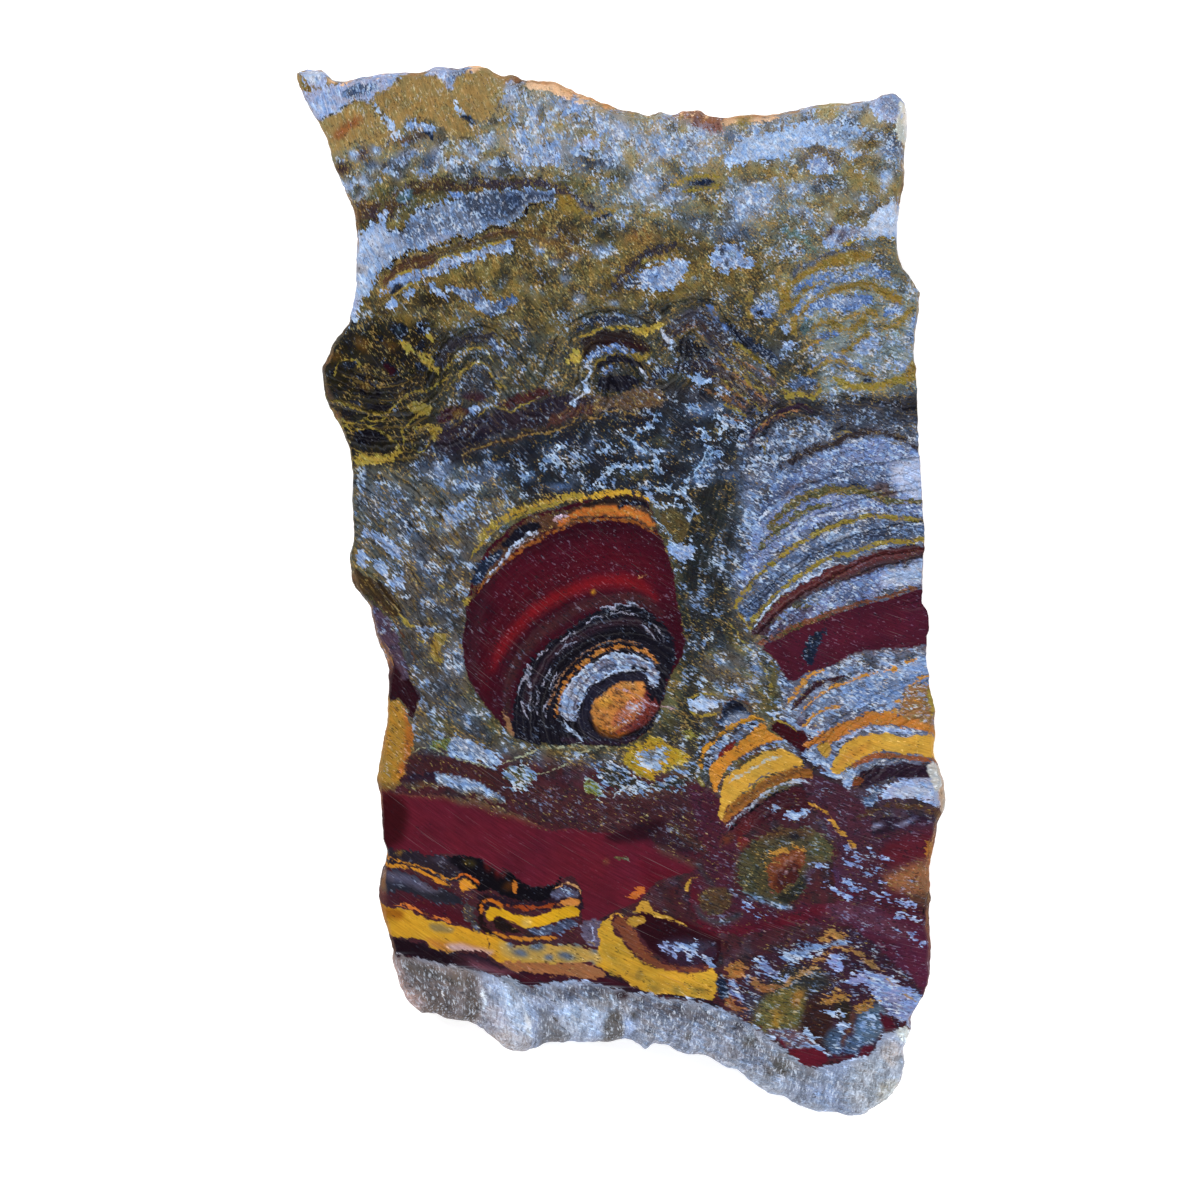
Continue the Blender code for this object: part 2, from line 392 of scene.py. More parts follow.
def level_ring(level):
    x, y = ring[:, 0], ring[:, 1]
    z = level * THICK_U
    p = at2(x, y, z)
    lumps = 0.55 + 0.75 * noise3(p / np.array([34.0, 34.0, 30.0]), 31)
    facets = np.abs(noise3(p / np.array([15.0, 15.0, 11.0]), 32)) * 1.1
    chips = np.abs(noise3(p / np.array([6.5, 6.5, 5.0]), 33)) * 0.55
    if level > 0.62:
        rise = (level - 0.62) / 0.38
        out = ring_rim * (0.22 * rise + 0.72 * rise ** 2.4)
        inset = out + 1.2 * rise * (1 - rise) * (facets + chips)
    else:
        share = (0.62 - level) / 0.62
        inset = 7.4 * share ** 1.25 * np.clip(lumps, 0.18, 1.15)
        inset = inset + (facets + chips) * (1.4 * min(1.0, share * 6.0))
    return no_folds(ring, ring + ring_way * np.maximum(inset, 0.05)[:, None])


ring_top = front_low[:count_ring].copy()
levels_xy = [level_ring(level) for level in LEVELS]
levels_z = [level * (THICK_U - ring_top) for level in LEVELS]

back_border = levels_xy[-1]
back_inner = sheet_points(back_border, None, STEP_BACK, 4.6)
back_faces = triangulate(back_border, back_inner)

xy = np.vstack([front_xy] + levels_xy + [back_inner])
z = np.concatenate([THICK_U - front_low] + levels_z + [np.zeros(len(back_inner))])
n_front = len(front_xy)
n_all = len(xy)
first_back = n_front + (len(LEVELS) - 1) * count_ring

quads = []
upper = np.arange(count_ring)
for k in range(len(LEVELS)):
    lower = n_front + k * count_ring + np.arange(count_ring)
    quads.append(np.stack([upper, np.roll(upper, -1), np.roll(lower, -1), lower], axis=1))
    upper = lower
quads = np.vstack(quads)
tri_a, tri_b = quads[:, [0, 1, 2]], quads[:, [0, 2, 3]]
wall_faces = np.where(
    (np.arange(len(quads)) % 2 == 0)[:, None, None],
    np.stack([tri_a, tri_b], 1),
    np.stack([quads[:, [0, 1, 3]], quads[:, [1, 2, 3]]], 1),
).reshape(-1, 3)
back_numbers = np.concatenate([first_back + np.arange(count_ring), first_back + count_ring + np.arange(len(back_inner))])
back_faces = back_numbers[back_faces]


def facing(faces, up):
    """Turns the triangles of a flat sheet so that they all face one way."""
    a, b, c = xy[faces[:, 0]], xy[faces[:, 1]], xy[faces[:, 2]]
    turn = (b[:, 0] - a[:, 0]) * (c[:, 1] - a[:, 1]) - (b[:, 1] - a[:, 1]) * (c[:, 0] - a[:, 0])
    flip = turn > 0 if up else turn < 0      # y runs down in the drawing
    out = faces.copy()
    out[flip] = out[flip][:, [0, 2, 1]]
    return out


front_faces = facing(front_faces, True)
back_faces = facing(back_faces, False)

# The wall's way round follows from an edge that it shares with the front.
front_dir = {}
for a, b, c in front_faces:
    for u, v in ((a, b), (b, c), (c, a)):
        if u < count_ring and v < count_ring:
            front_dir[(u, v)] = True
if (0, 1) in front_dir:
    wall_faces = wall_faces[:, [0, 2, 1]]
faces = np.vstack([front_faces, wall_faces, back_faces])

# ---------------------------------------------------------------- painting
# Each point of the mesh looks up the drawing. The broken edge and the back
# look it up a little further on, as the beds dip through the stone.
depth_u = THICK_U - z
is_wall = np.zeros(n_all)
is_wall[n_front:first_back + count_ring] = 1.0
is_back = np.zeros(n_all)
is_back[first_back + count_ring:] = 1.0
tangent = np.stack([-ring_way[:, 1], ring_way[:, 0]], axis=1)
shift = np.zeros((n_all, 2))
for k in range(len(LEVELS)):
    sl = slice(n_front + k * count_ring, n_front + (k + 1) * count_ring)
    deep = (1.0 - LEVELS[k]) * THICK_U
    # Steps in from the edge, so that the wall shows what lies beside it.
    shift[sl] = ring_way * (3.0 + 0.10 * deep)[:, None] if isinstance(deep, np.ndarray) else ring_way * (3.0 + 0.10 * deep)
    shift[sl] += tangent * 0.34 * deep
shift[first_back + count_ring:] = (7.0, 13.0)
flat = xy + shift

warp_x = 1.5 * noise3(at2(flat[:, 0] / 17, flat[:, 1] / 17, 0.0), 41) + 0.8 * noise3(at2(flat[:, 0] / 6.5, flat[:, 1] / 6.5, 0.0), 42)
warp_y = 1.5 * noise3(at2(flat[:, 0] / 17, flat[:, 1] / 17, 5.0), 43) + 0.8 * noise3(at2(flat[:, 0] / 6.5, flat[:, 1] / 6.5, 5.0), 44)
calm = np.ones(n_all)
for cx, cy, rad in ((588, 640, 120), (760, 770, 70)):
    calm *= 1.0 - 0.45 * np.exp(-(np.hypot(flat[:, 0] - cx, flat[:, 1] - cy) / rad) ** 4)
more = 1.0 + 2.0 * np.clip(is_wall * depth_u / THICK_U + is_back, 0, 1)
spot = flat + np.stack([warp_x, warp_y], axis=1) * (calm * more)[:, None]

CAP = 14.0
LAYERS = 3
rgb = [np.zeros((n_all, 3)) for _ in range(LAYERS + 1)]
par = [np.zeros((n_all, 4)) for _ in range(LAYERS + 1)]     # pale, dark, ochre, ragged
gap = [np.full(n_all, -CAP) for _ in range(LAYERS + 1)]
line_rgb = np.zeros((n_all, 3))
line_off = np.full(n_all, CAP)
line_half = np.full(n_all, -8.0)
line_win = np.full(n_all, -99.0)
bed = np.zeros(n_all)
bed_amp = np.zeros(n_all)
gloss = np.zeros(n_all)

# name: red, green, blue, then the shares of pale, dark and ochre grains, and
# how ragged the border is.
INKS = {
    "olive": (96, 90, 58, .20, .34, .20, 1.3),
    "olive_green": (80, 84, 60, .20, .36, .18, 1.2),
    "olive_dark": (54, 54, 44, .12, .46, .12, 1.1),
    "ochre": (142, 116, 54, .10, .20, .16, 1.2),
    "ochre_lobe": (152, 126, 80, .14, .14, .20, 1.2),
    "ochre_pale": (166, 150, 108, .26, .14, .16, 1.2),
    "mustard": (204, 156, 62, .04, .07, .00, .6),
    "gold": (214, 158, 44, .03, .06, .00, .5),
    "golden": (150, 128, 54, .08, .18, .12, .9),
    "orange": (184, 114, 48, .06, .16, .10, .9),
    "rust": (134, 70, 38, .06, .18, .08, .9),
    "tan": (158, 110, 76, .08, .14, .08, .8),
    "brown": (84, 56, 42, .08, .28, .10, 1.0),
    "brown_dark": (38, 26, 26, .07, .30, .04, .9),
    "maroon": (76, 15, 29, .04, .07, .00, .5),
    "maroon_dark": (42, 12, 22, .03, .18, .00, .7),
    "maroon_grey": (56, 28, 38, .08, .26, .03, .9),
    "red": (120, 22, 28, .00, .06, .00, .5),
    "plum": (46, 28, 44, .12, .28, .00, .9),
    "black": (14, 11, 19, .10, .10, .00, .8),
    "inky": (20, 18, 30, .14, .16, .00, .9),
    "navy": (28, 38, 60, .24, .28, .00, 1.0),
    "slate": (76, 92, 126, .36, .34, .04, 1.2),
    "blue": (92, 120, 176, .36, .28, .04, 1.2),
    "pale": (138, 158, 202, .46, .30, .04, 1.4),
    "white": (188, 200, 228, .44, .16, .00, 1.1),
    "lavender": (162, 170, 208, .40, .20, .02, 1.2),
    "grey": (90, 90, 100, .26, .34, .05, 1.1),
    "teal": (74, 96, 102, .28, .28, .06, 1.1),
    "crescent": (118, 116, 140, .46, .30, .00, .9),
    "core": (204, 134, 68, .10, .36, .00, 1.9),
    "peach": (234, 188, 148, .12, .06, .08, .8),
    "pink": (190, 156, 168, .30, .12, .00, .8),
    "quartz": (162, 176, 208, .14, .06, .00, .9),
    "smoke": (122, 114, 112, .12, .16, .00, .9),
    "cream": (206, 204, 190, .22, .04, .00, .7),
    "lump": (182, 180, 190, .16, .05, .00, .7),
}


def ink(name):
    if isinstance(name, str):
        return INKS[name]
    return tuple(name)


def chosen(curve, margin):
    low, high = curve.min(0) - margin, curve.max(0) + margin
    return np.where(
        (spot[:, 0] > low[0]) & (spot[:, 0] < high[0]) & (spot[:, 1] > low[1]) & (spot[:, 1] < high[1])
    )[0]


def shape(points, width=None, rounded=True):
    """Points of the mesh near a patch or a stroke, and how far inside it each lies."""
    pts = read(points)
    if width is None:
        curve = smooth_curve(pts, True) if rounded else pts
        sel = chosen(curve, CAP)
        if len(sel) == 0:
            return sel, np.zeros(0)
        d, _, _, _ = near_curve(spot[sel], curve, True)
        hit = inside(spot[sel], curve)
        return sel, np.clip(np.where(hit, d, -d), -CAP, CAP)
    curve = smooth_curve(pts, False)
    widths = np.atleast_1d(np.asarray(width, float))
    sel = chosen(curve, CAP + widths.max())
    if len(sel) == 0:
        return sel, np.zeros(0)
    d, _, share, _ = near_curve(spot[sel], curve, False)
    if len(widths) == 1:
        here = widths[0] * np.minimum(1.0, 0.35 + 6.0 * np.minimum(share, 1.0 - share))
    else:
        here = np.interp(share, np.linspace(0, 1, len(widths)), widths)
    return sel, np.clip(0.5 * here - d, -CAP, CAP)


def lay(layer, name, points, width=None, soft=None, rounded=True, shade=0.0):
    """Paints a patch, or a stroke of a width, on a layer."""
    colour = ink(name)
    sel, inner = shape(points, width, rounded)
    if len(sel) == 0:
        return
    tone = np.array(colour[:3], float) * (1.0 + shade)
    if layer == 0:
        soft = 5.0 if soft is None else soft
        alpha = ease(-soft, soft, inner)[:, None]
        rgb[0][sel] += (tone - rgb[0][sel]) * alpha
        par[0][sel] += (np.array(colour[3:7]) - par[0][sel]) * alpha
        return
    win = (inner > 0) | (inner > gap[layer][sel])
    hit = sel[win]
    rgb[layer][hit] = tone
    par[layer][hit] = colour[3:7]
    gap[layer][sel] = np.maximum(gap[layer][sel], inner)


def band(layer, name, upper, lower, **more_of):
    lay(layer, name, np.vstack([read(upper), read(lower)[::-1]]), **more_of)


def cut(layer, points, width=None):
    sel, inner = shape(points, width)
    gap[layer][sel] = np.minimum(gap[layer][sel], -inner)


def tint(layer, name, points, width=None, soft=5.0, strength=1.0, grains=True):
    """Shades what is already on a layer, with a soft border."""
    colour = ink(name)
    sel, inner = shape(points, width)
    if len(sel) == 0:
        return
    alpha = (strength * ease(-soft, soft, inner))[:, None]
    rgb[layer][sel] += (np.array(colour[:3], float) - rgb[layer][sel]) * alpha
    if grains:
        par[layer][sel] += (np.array(colour[3:7]) - par[layer][sel]) * alpha


def blot(layer, name, x, y, rx, ry, turn=0.0, strength=0.8, grains=True):
    """A soft oval shade; turn in degrees, clockwise on the drawing."""
    colour = ink(name)
    c, s = math.cos(math.radians(turn)), math.sin(math.radians(turn))
    dx, dy = spot[:, 0] - x, spot[:, 1] - y
    u, v = (c * dx + s * dy) / rx, (-s * dx + c * dy) / ry
    alpha = strength * np.exp(-(u * u + v * v) ** 1.5)
    sel = np.where(alpha > 0.01)[0]
    alpha = alpha[sel][:, None]
    rgb[layer][sel] += (np.array(colour[:3], float) - rgb[layer][sel]) * alpha
    if grains:
        par[layer][sel] += (np.array(colour[3:7]) - par[layer][sel]) * alpha


def thin(name, points, width, taper=True, shade=0.0):
    """A narrow line, kept sharp by storing which side of it each point lies on."""
    colour = np.array(ink(name)[:3], float) * (1.0 + shade)
    curve = smooth_curve(read(points), False)
    sel = chosen(curve, CAP)
    if len(sel) == 0:
        return
    d, side, share, over = near_curve(spot[sel], curve, False)
    half = 0.5 * width * np.ones(len(sel))
    if taper:
        half = half * np.minimum(1.0, 0.3 + 7.0 * np.minimum(share, 1.0 - share))
    half = half - np.where(over > 0, over, 0.0) - np.maximum(0.0, d - (half + 1.6)) * 2.0
    score = half - d
    win = (score > line_win[sel]) & (d < CAP)
    hit = sel[win]
    line_win[hit] = score[win]
    line_off[hit] = (side * d)[win]
    line_half[hit] = np.maximum(half[win], -8.0)
    line_rgb[hit] = colour


def beds(region, guide, amp, soft=12.0):
    """Fine bedding in a region, running alongside a guide line."""
    poly = smooth_curve(read(region), True, 6.0)
    low, high = poly.min(0) - soft, poly.max(0) + soft
    sel = np.where((spot[:, 0] > low[0]) & (spot[:, 0] < high[0]) & (spot[:, 1] > low[1]) & (spot[:, 1] < high[1]))[0]
    if len(sel) == 0:
        return
    d, _, _, _ = near_curve(spot[sel], poly, True)
    inner = np.where(inside(spot[sel], poly), d, -d)
    strength = amp * ease(-soft, soft, inner)
    if isinstance(guide, tuple):
        value = np.hypot(spot[sel][:, 0] - guide[0], spot[sel][:, 1] - guide[1])
    else:
        line = smooth_curve(read(guide), False, 8.0)
        dist, side, _, _ = near_curve(spot[sel], line, False)
        value = dist * side + 300.0
    win = strength > bed_amp[sel]
    hit = sel[win]
    bed[hit] = value[win]
    bed_amp[hit] = strength[win]


def shine(points, value, soft=6.0):
    sel, inner = shape(points)
    gloss[sel] = np.maximum(gloss[sel], value * ease(-soft, soft, inner))


# ---- ground
lay0 = ink("olive")
rgb[0][:] = lay0[:3]
par[0][:] = lay0[3:7]
lay(0, (136, 124, 94, .28, .24, .32, 1.2), "270,40 930,40 930,165 760,172 600,165 420,178 320,170", soft=10)
lay(0, (156, 152, 146, .40, .20, .26, 1.2), "500,95 600,90 930,76 930,160 860,165 720,170 600,172 520,166", soft=14)
lay(0, (110, 94, 56, .10, .36, .40, 1.2), "380,250 480,232 560,205 700,205 790,240 790,300 700,300 560,320 430,330 370,320", soft=14)
lay(0, (122, 120, 104, .26, .25, .34, 1.2), "600,180 700,165 930,160 930,250 860,258 780,260 700,230 600,226", soft=14)
lay(0, (136, 146, 142, .34, .20, .28, 1.2), "780,280 860,246 930,246 930,400 800,410 740,350", soft=12)
lay(0, (72, 72, 62, .14, .40, .24, 1.2), "430,330 560,312 700,296 800,330 800,400 640,400 430,420", soft=14)
lay(0, (42, 40, 48, .12, .42, .09, 1.2), "430,420 560,400 700,385 800,400 930,395 930,460 790,470 740,500 480,500 420,480", soft=12)
lay(0, (38, 44, 54, .16, .42, .09, 1.2), "470,450 560,430 740,400 760,470 740,520 690,500 560,492 480,500 420,490", soft=12)
lay(0, (92, 94, 92, .24, .33, .22, 1.2), "340,460 470,470 520,500 470,560 460,640 400,610 350,540", soft=12)
lay(0, (90, 84, 80, .20, .34, .20, 1.2), "400,560 470,520 500,500 470,700 520,745 640,748 690,700 700,500 760,480 760,700 700,760 560,770 430,760 400,690", soft=12)
lay(0, (38, 42, 42, .13, .42, .12, 1.2), "684,500 760,470 770,520 730,600 740,640 700,660 690,740 680,640", soft=14)
lay(0, (70, 34, 42, .05, .24, .02, .9), "380,770 520,760 640,770 700,780 760,800 940,760 940,1080 380,960", soft=10)
lay(0, (104, 116, 148, .42, .40, .06, 1.2), "750,440 860,430 930,440 930,600 770,600 735,600 740,520", soft=10)
lay(0, (104, 112, 142, .42, .28, .08, 1.1), "800,650 930,640 940,770 850,790 800,770 780,720", soft=8)
lay(0, (70, 48, 62, .18, .30, .02, 1.0), "800,720 860,780 940,770 950,840 850,850 800,800", soft=8)
lay(0, (40, 36, 22, .04, .44, .18, 1.2), "318,352 352,322 400,318 440,322 452,350 440,400 410,460 350,462 330,430", soft=12)

# ---- left tip, top rows
blot(0, "ochre", 303, 88, 9, 20, -22, .95)
lay(1, "lavender", "302,73 309,69 322,70 326,82 321,89 312,90 306,82")
lay(1, "white", "305,76 312,71 320,73 322,81 314,86 308,82")
lay(0, "peach", "291,66 326,62 336,80 330,82 324,70 308,68 297,76", soft=2.5)
band(1, "lavender", "300,96 314,91 339,82 359,78 378,75 402,69 417,69 440,72", "318,126 326,119 342,111 350,105 361,100 370,103 376,95 387,89 396,80 403,76 420,76 440,78")
lay(2, "slate", "342,92 352,86 366,84 374,86 368,93 356,98 344,99")
blot(1, "white", 322, 107, 14, 8, -25, .6)
lay(1, "lavender", "428,72 440,66 455,66 480,62 480,68 470,76 458,84 450,90 444,82 434,77")
tint(1, "slate", "446,74 458,72 470,66 478,64 476,70 462,78 452,84", soft=2.5, strength=.7)
for pts, w in (("340,83 350,81 362,77 374,76 398,72 420,73", 3.6),):
    lay(2, "peach", pts, w)
lay(2, "brown", "352,79 368,76", 2.2)
lay(1, "ochre_lobe", "319,126 326,119 342,111 350,104 361,100 370,103 378,111 385,122 391,136 384,146 370,143 359,140 347,146 336,154 329,149 324,139")
lay(1, "ochre_lobe", "375,97 387,89 396,80 403,76 420,76 431,76 440,79 447,87 451,95 455,104 462,114 467,122 470,134 455,138 446,131 439,122 431,118 419,120 406,117 401,130 395,128 384,112 377,104")
lay(1, "ochre_lobe", "453,84 460,76 476,69 481,62 488,66 500,73 507,78 504,92 500,102 493,111 485,121 476,121 468,115 462,107 457,100")
for x, y, rx, ry, t in ((352, 123, 12, 5, -30), (341, 134, 8, 5, -40), (408, 137, 10, 4, -10)):
    blot(1, "rust", x, y, rx, ry, t, .75)
thin("olive_dark", "319,125 326,118 342,110 350,104 361,99 370,103", 2.0)
lay(2, "white", "377,106 384,117 391,127 397,137", [1.2, 2.0, 5.0, 8.0])
lay(2, "white", "456,102 462,111 468,118", [1.5, 3.2, 2.4])
lay(2, "navy", "463,113 469,120 475,126", [2.5, 4.5, 2.0])
lay(2, "pale", "406,120 415,121 426,123 433,129 429,134 420,130 410,126")
lay(2, "navy", "422,131 430,134 434,139", [3.0, 5.0, 3.0])
blot(0, (58, 40, 48, .08, .3, .05, 1), 363, 154, 6, 8, 20, .85)
blot(0, (58, 40, 48, .08, .3, .05, 1), 344, 169, 7, 8, 20, .9)
blot(0, (86, 62, 52, .1, .3, .1, 1), 410, 138, 20, 5, -14, .85)
for x, y, rx, ry, t in (
    (376, 150, 6, 6, 0), (353, 155, 5, 6, -20), (364, 182, 9, 11, -35), (398, 176, 6, 5, 0),
    (438, 155, 6, 10, 15), (410, 153, 11, 5, -10), (361, 197, 8, 5, -40), (349, 186, 5, 8, -35),
    (455, 194, 5, 3, 0), (489, 141, 8, 8, 0), (470, 150, 10, 8, 0), (450, 168, 9, 6, 10),
    (424, 172, 5, 7, 20), (486, 168, 9, 8, 20), (509, 93, 9, 13, 30), (564, 104, 7, 8, 0), (578, 104, 7, 8, 0),
    (600, 124, 5, 9, 0), (520, 134, 4, 9, 10), (534, 115, 4, 12, 25), (541, 153, 22, 12, 0), (550, 150, 10, 8, 0),
    (660, 148, 14, 12, 0), (619, 130, 13, 11, 0), (690, 142, 10, 9, 0), (706, 128, 14, 8, 0),
    (640, 142, 10, 12, 0), (612, 150, 9, 9, 0),
    (575, 150, 6, 5, 0), (700, 156, 12, 9, 0), (884, 104, 16, 14, -35), (852, 110, 16, 10, -30),
    (648, 184, 24, 16, -20), (672, 196, 18, 10, 0), (750, 200, 26, 20, 0), (742, 214, 16, 10, 20), (770, 190, 8, 6, 0),
    (886, 178, 11, 9, -30), (884, 150, 12, 10, -30), (799, 188, 14, 8, 0), (800, 210, 12, 7, 0),
    (806, 218, 6, 5, 0), (830, 216, 6, 6, 0),
):
    blot(0, (158, 172, 206, .54, .20, .04, 1.2), x, y, rx, ry, t, .88)
for x, y, rx, ry, t in (
    (395, 165, 14, 8, -10), (430, 162, 9, 12, 20), (372, 165, 8, 5, 0), (405, 160, 6, 8, 0),
    (588, 166, 20, 10, 0), (606, 160, 12, 10, 0), (505, 165, 9, 9, 0), (522, 172, 6, 6, 0),
    (464, 172, 14, 8, 0), (735, 136, 12, 8, 0), (775, 105, 20, 3, -10), (848, 122, 10, 9, -30),
    (866, 140, 16, 9, -20), (893, 146, 8, 18, 10), (890, 118, 6, 8, 0), (820, 186, 12, 8, 0), (842, 190, 10, 9, 0),
    (730, 232, 30, 12, 0), (700, 222, 16, 8, 0), (862, 204, 14, 10, 0),
):
    blot(0, "slate", x, y, rx, ry, t, .75)
for x, y, rx, ry, t in (
    (409, 181, 22, 5, -6), (545, 172, 26, 6, 0), (585, 135, 14, 5, 0), (512, 122, 10, 7, 0), (560, 127, 9, 5, 0),
    (600, 103, 12, 8, 20), (590, 148, 14, 6, 0), (632, 160, 9, 7, 0), (742, 128, 9, 6, 0), (822, 108, 10, 8, 0), (855, 177, 16, 12, -20),
    (786, 178, 20, 8, 10), (760, 170, 26, 6, 0), (868, 146, 16, 6, 0), (895, 190, 9, 14, 20), (716, 178, 20, 6, 0),
    (680, 130, 9, 6, 0), (714, 206, 16, 7, 0), (712, 222, 10, 6, 0), (612, 182, 12, 7, 0), (480, 104, 14, 10, 0), (500, 118, 12, 12, 0),
    (865, 186, 16, 10, 0), (850, 214, 20, 10, 0), (440, 200, 20, 5, -12), (396, 220, 12, 8, -20), (866, 118, 12, 9, 0),
):
    blot(0, (150, 128, 74, .12, .20, .26, 1.2), x, y, rx, ry, t, .62)
for x, y, rx, ry, t in ((640, 118, 16, 6, 0), (628, 150, 12, 9, 0), (700, 168, 22, 7, 0), (660, 170, 18, 7, 0), (745, 172, 30, 6, 0), (800, 176, 30, 8, 0), (850, 200, 26, 14, 0), (770, 222, 26, 9, 0), (820, 204, 18, 10, 0), (884, 128, 12, 8, 0), (888, 204, 14, 16, 20), (700, 200, 20, 8, 0), (650, 214, 24, 9, 0), (606, 176, 16, 7, 0), (730, 118, 12, 5, 0), (840, 112, 14, 6, 0), (872, 160, 20, 7, 0)):
    blot(0, (148, 130, 90, .12, .20, .42, 1.2), x, y, rx, ry, t, .5)
lay(1, (166, 188, 226, .50, .14, .03, 1.6), "725,164 734,146 744,134 766,132 782,127 803,123 832,123 861,128 868,136 861,147 853,160 841,150 825,146 803,149 782,157 763,160 744,163", shade=.02)
blot(1, "white", 762, 150, 26, 9, -10, .55)
blot(1, "slate", 846, 135, 22, 8, 10, .5)
blot(1, (112, 148, 200, .5, .2, 0, 1.2), 830, 157, 12, 6, 0, .6)
lay(1, (112, 100, 92, .2, .3, .3, 1.7), "800,160 806,150 818,146 832,149 840,158 836,168 828,164 818,156 808,164")
lay(2, (132, 150, 196, .5, .26, .04, 1.6), "806,166 812,158 822,156 832,162 834,170 824,174 812,172")
tint(1, (120, 104, 70, .2, .26, .3, 1.3), "850,148 858,138 874,134 886,140 878,150 862,154", soft=5, strength=.8)
blot(0, (120, 104, 70, .2, .26, .3, 1.3), 868, 144, 18, 9, -10, .8)
band(1, "lavender", "576,142 588,138 600,140", "578,147 590,147 600,145")
lay(1, (142, 104, 92, .34, .3, .1, 1.6), "666,110 688,106 702,107 709,114 722,116 722,131 708,131 696,126 680,120 668,118", shade=.25)
tint(1, (112, 68, 62, .2, .3, .04, 1.3), "690,112 712,116 722,118 722,130 706,130 690,124", soft=4, strength=.6)
tint(1, "peach", "664,108 690,106 706,108 704,112 684,112 668,112", soft=2, strength=.7)
for x, w in ((690, 3.0), (703, 2.4), (676, 2.4)):
    lay(2, "peach", "%d,108 %d,116 %d,122" % (x, x + 1, x + 2), w)
lay(1, "peach", "516,72 553,75 570,81 586,91 600,98 614,106 604,111 590,104 572,100 558,95 545,90 528,86")
lay(1, "peach", "436,63 453,65 477,62 486,66 478,70 456,71 440,70")
tint(1, "orange", "584,94 600,100 614,108 600,108 588,101", soft=3, strength=.8)
lay(1, "brown", "506,72 514,72 520,80 516,86 508,80")
lay(1, "peach", "722,114 744,111 776,111 778,118 760,124 744,124 724,126")
tint(1, "ochre", "736,122 752,122 750,134 738,133", soft=3)
band(1, "lavender", "776,110 800,105 822,101", "778,116 800,113 822,108")
lay(1, "ochre_pale", "818,101 838,100 840,112 828,120 818,116")
lay(1, (176, 182, 216, .4, .2, .02, 1.2), "868,98 884,90 898,88 908,100 905,118 893,122 880,118 872,110")
tint(1, "slate", "880,96 894,94 900,106 892,116 882,110", soft=4, strength=.5)
lay(1, "cream", "897,100 912,104 912,168 899,167 900,150 896,130 899,112")
tint(1, (226, 228, 236, .2, .04, 0, 1), "899,102 912,104 911,162 903,160 902,130", soft=3, strength=.85)
tint(1, (186, 150, 66, .1, .06, .1, 1), "904,168 908,168 904,208 901,236 896,234 900,206", soft=2, strength=.7)
lay(1, "golden", "904,164 910,164 906,210 900,240 896,240 899,210 903,186")
for pts, w in (("560,97 566,110 566,120", 6), ("572,97 576,108 580,116", 6), ("597,116 600,126 602,134", 6), ("530,104 534,114 539,126", 3.5), ("518,127 521,135 521,144", 3.5), ("545,133 541,142", 4)):
    lay(1, "pale", pts, w)
lay(1, "pale", "521,158 527,150 540,146 552,144 560,150 560,162 546,165 532,164 524,166")
blot(1, (140, 122, 100, .2, .2, .2, 1), 537, 156, 5, 6, 0, .6)

# ---- dark band and the quartz wedge under it
lay(1, (64, 48, 44, .14, .34, .26, 2.0), "372,222 384,203 400,188 420,183 441,180 462,182 480,180 500,179 519,178 549,179 566,188 581,200 594,206 590,212 576,206 560,197 549,190 530,189 512,190 490,192 476,191 462,191 441,190 424,194 408,202 396,212 384,222")
tint(1, (62, 54, 66, .2, .34, .08, 1.8), "470,180 500,179 549,180 580,200 592,208 560,197 530,190 490,192", soft=5, strength=.8)
tint(1, (96, 72, 48, .1, .3, .3, 1.8), "380,205 400,188 430,182 450,180 430,188 404,196 388,212", soft=5, strength=.8)
lay(1, "teal", "395,198 400,190 412,190 411,198 402,203")
lay(1, "olive", "412,197 430,192 443,194 440,202 424,205 412,204")
lay(1, "blue", "450,193 456,190 461,193 459,199 452,199")
lay(1, (88, 66, 48, .12, .3, .26, 2.0), "352,206 366,200 380,201 376,212 364,222 356,226")
blot(1, (58, 42, 50, .1, .3, .04, 1.6), 372, 212, 7, 9, 30, .8)
wedge_top = "350,238 364,232 370,224 377,222 379,215 384,207 390,211 385,218 383,226 392,231 402,228 411,214 420,210 431,207 441,201 455,201 462,197 476,191 490,192 512,191 534,190 555,191"
wedge_low = "346,330 349,322 356,317 362,301 368,290 373,282 377,275 384,268 391,264 395,256 403,257 408,247 415,249 425,250 434,246 443,243 450,242 453,236 461,236 469,239 474,232 482,230 489,225 500,226 509,221 524,215 530,205 546,202 559,199"
band(2, (150, 164, 196, .42, .22, .02, 1.3), wedge_top, wedge_low, rounded=False)
tint(2, "navy", "462,197 480,193 512,191 555,192 558,199 530,203 520,213 500,219 480,219 466,211", soft=6, strength=.8)
tint(2, (86, 98, 124, .36, .34, .02, 1.2), "400,222 440,206 500,196 500,226 450,240 410,246", soft=8, strength=.6)
tint(2, "white", "350,240 372,232 380,240 372,262 380,272 366,294 352,320 344,320 348,270", soft=6, strength=.6)
tint(2, "lavender", "346,300 358,300 352,322 346,326", soft=3, strength=.9)
blot(2, "slate", 420, 232, 22, 10, -20, .5)
blot(2, "lavender", 440, 238, 18, 5, -14, .6)
blot(2, "smoke", 361, 270, 7, 5, 0, .6)
thin("black", "377,276 385,270 392,265 396,257 404,258 409,248 416,250 426,251 435,247 444,244 451,243 454,237 462,237 470,240 475,233 483,231 490,226 501,227 510,222 525,216 531,206 547,203", 3.4)
thin("black", "384,226 392,232 402,229 411,215 420,211 432,208 442,202", 2.0)
lay(1, "ochre", "559,198 563,195 570,195 578,202 585,208 574,213 562,211 558,205", shade=-.05)
lay(1, "grey", "574,198 584,204 594,210 588,212 578,206")

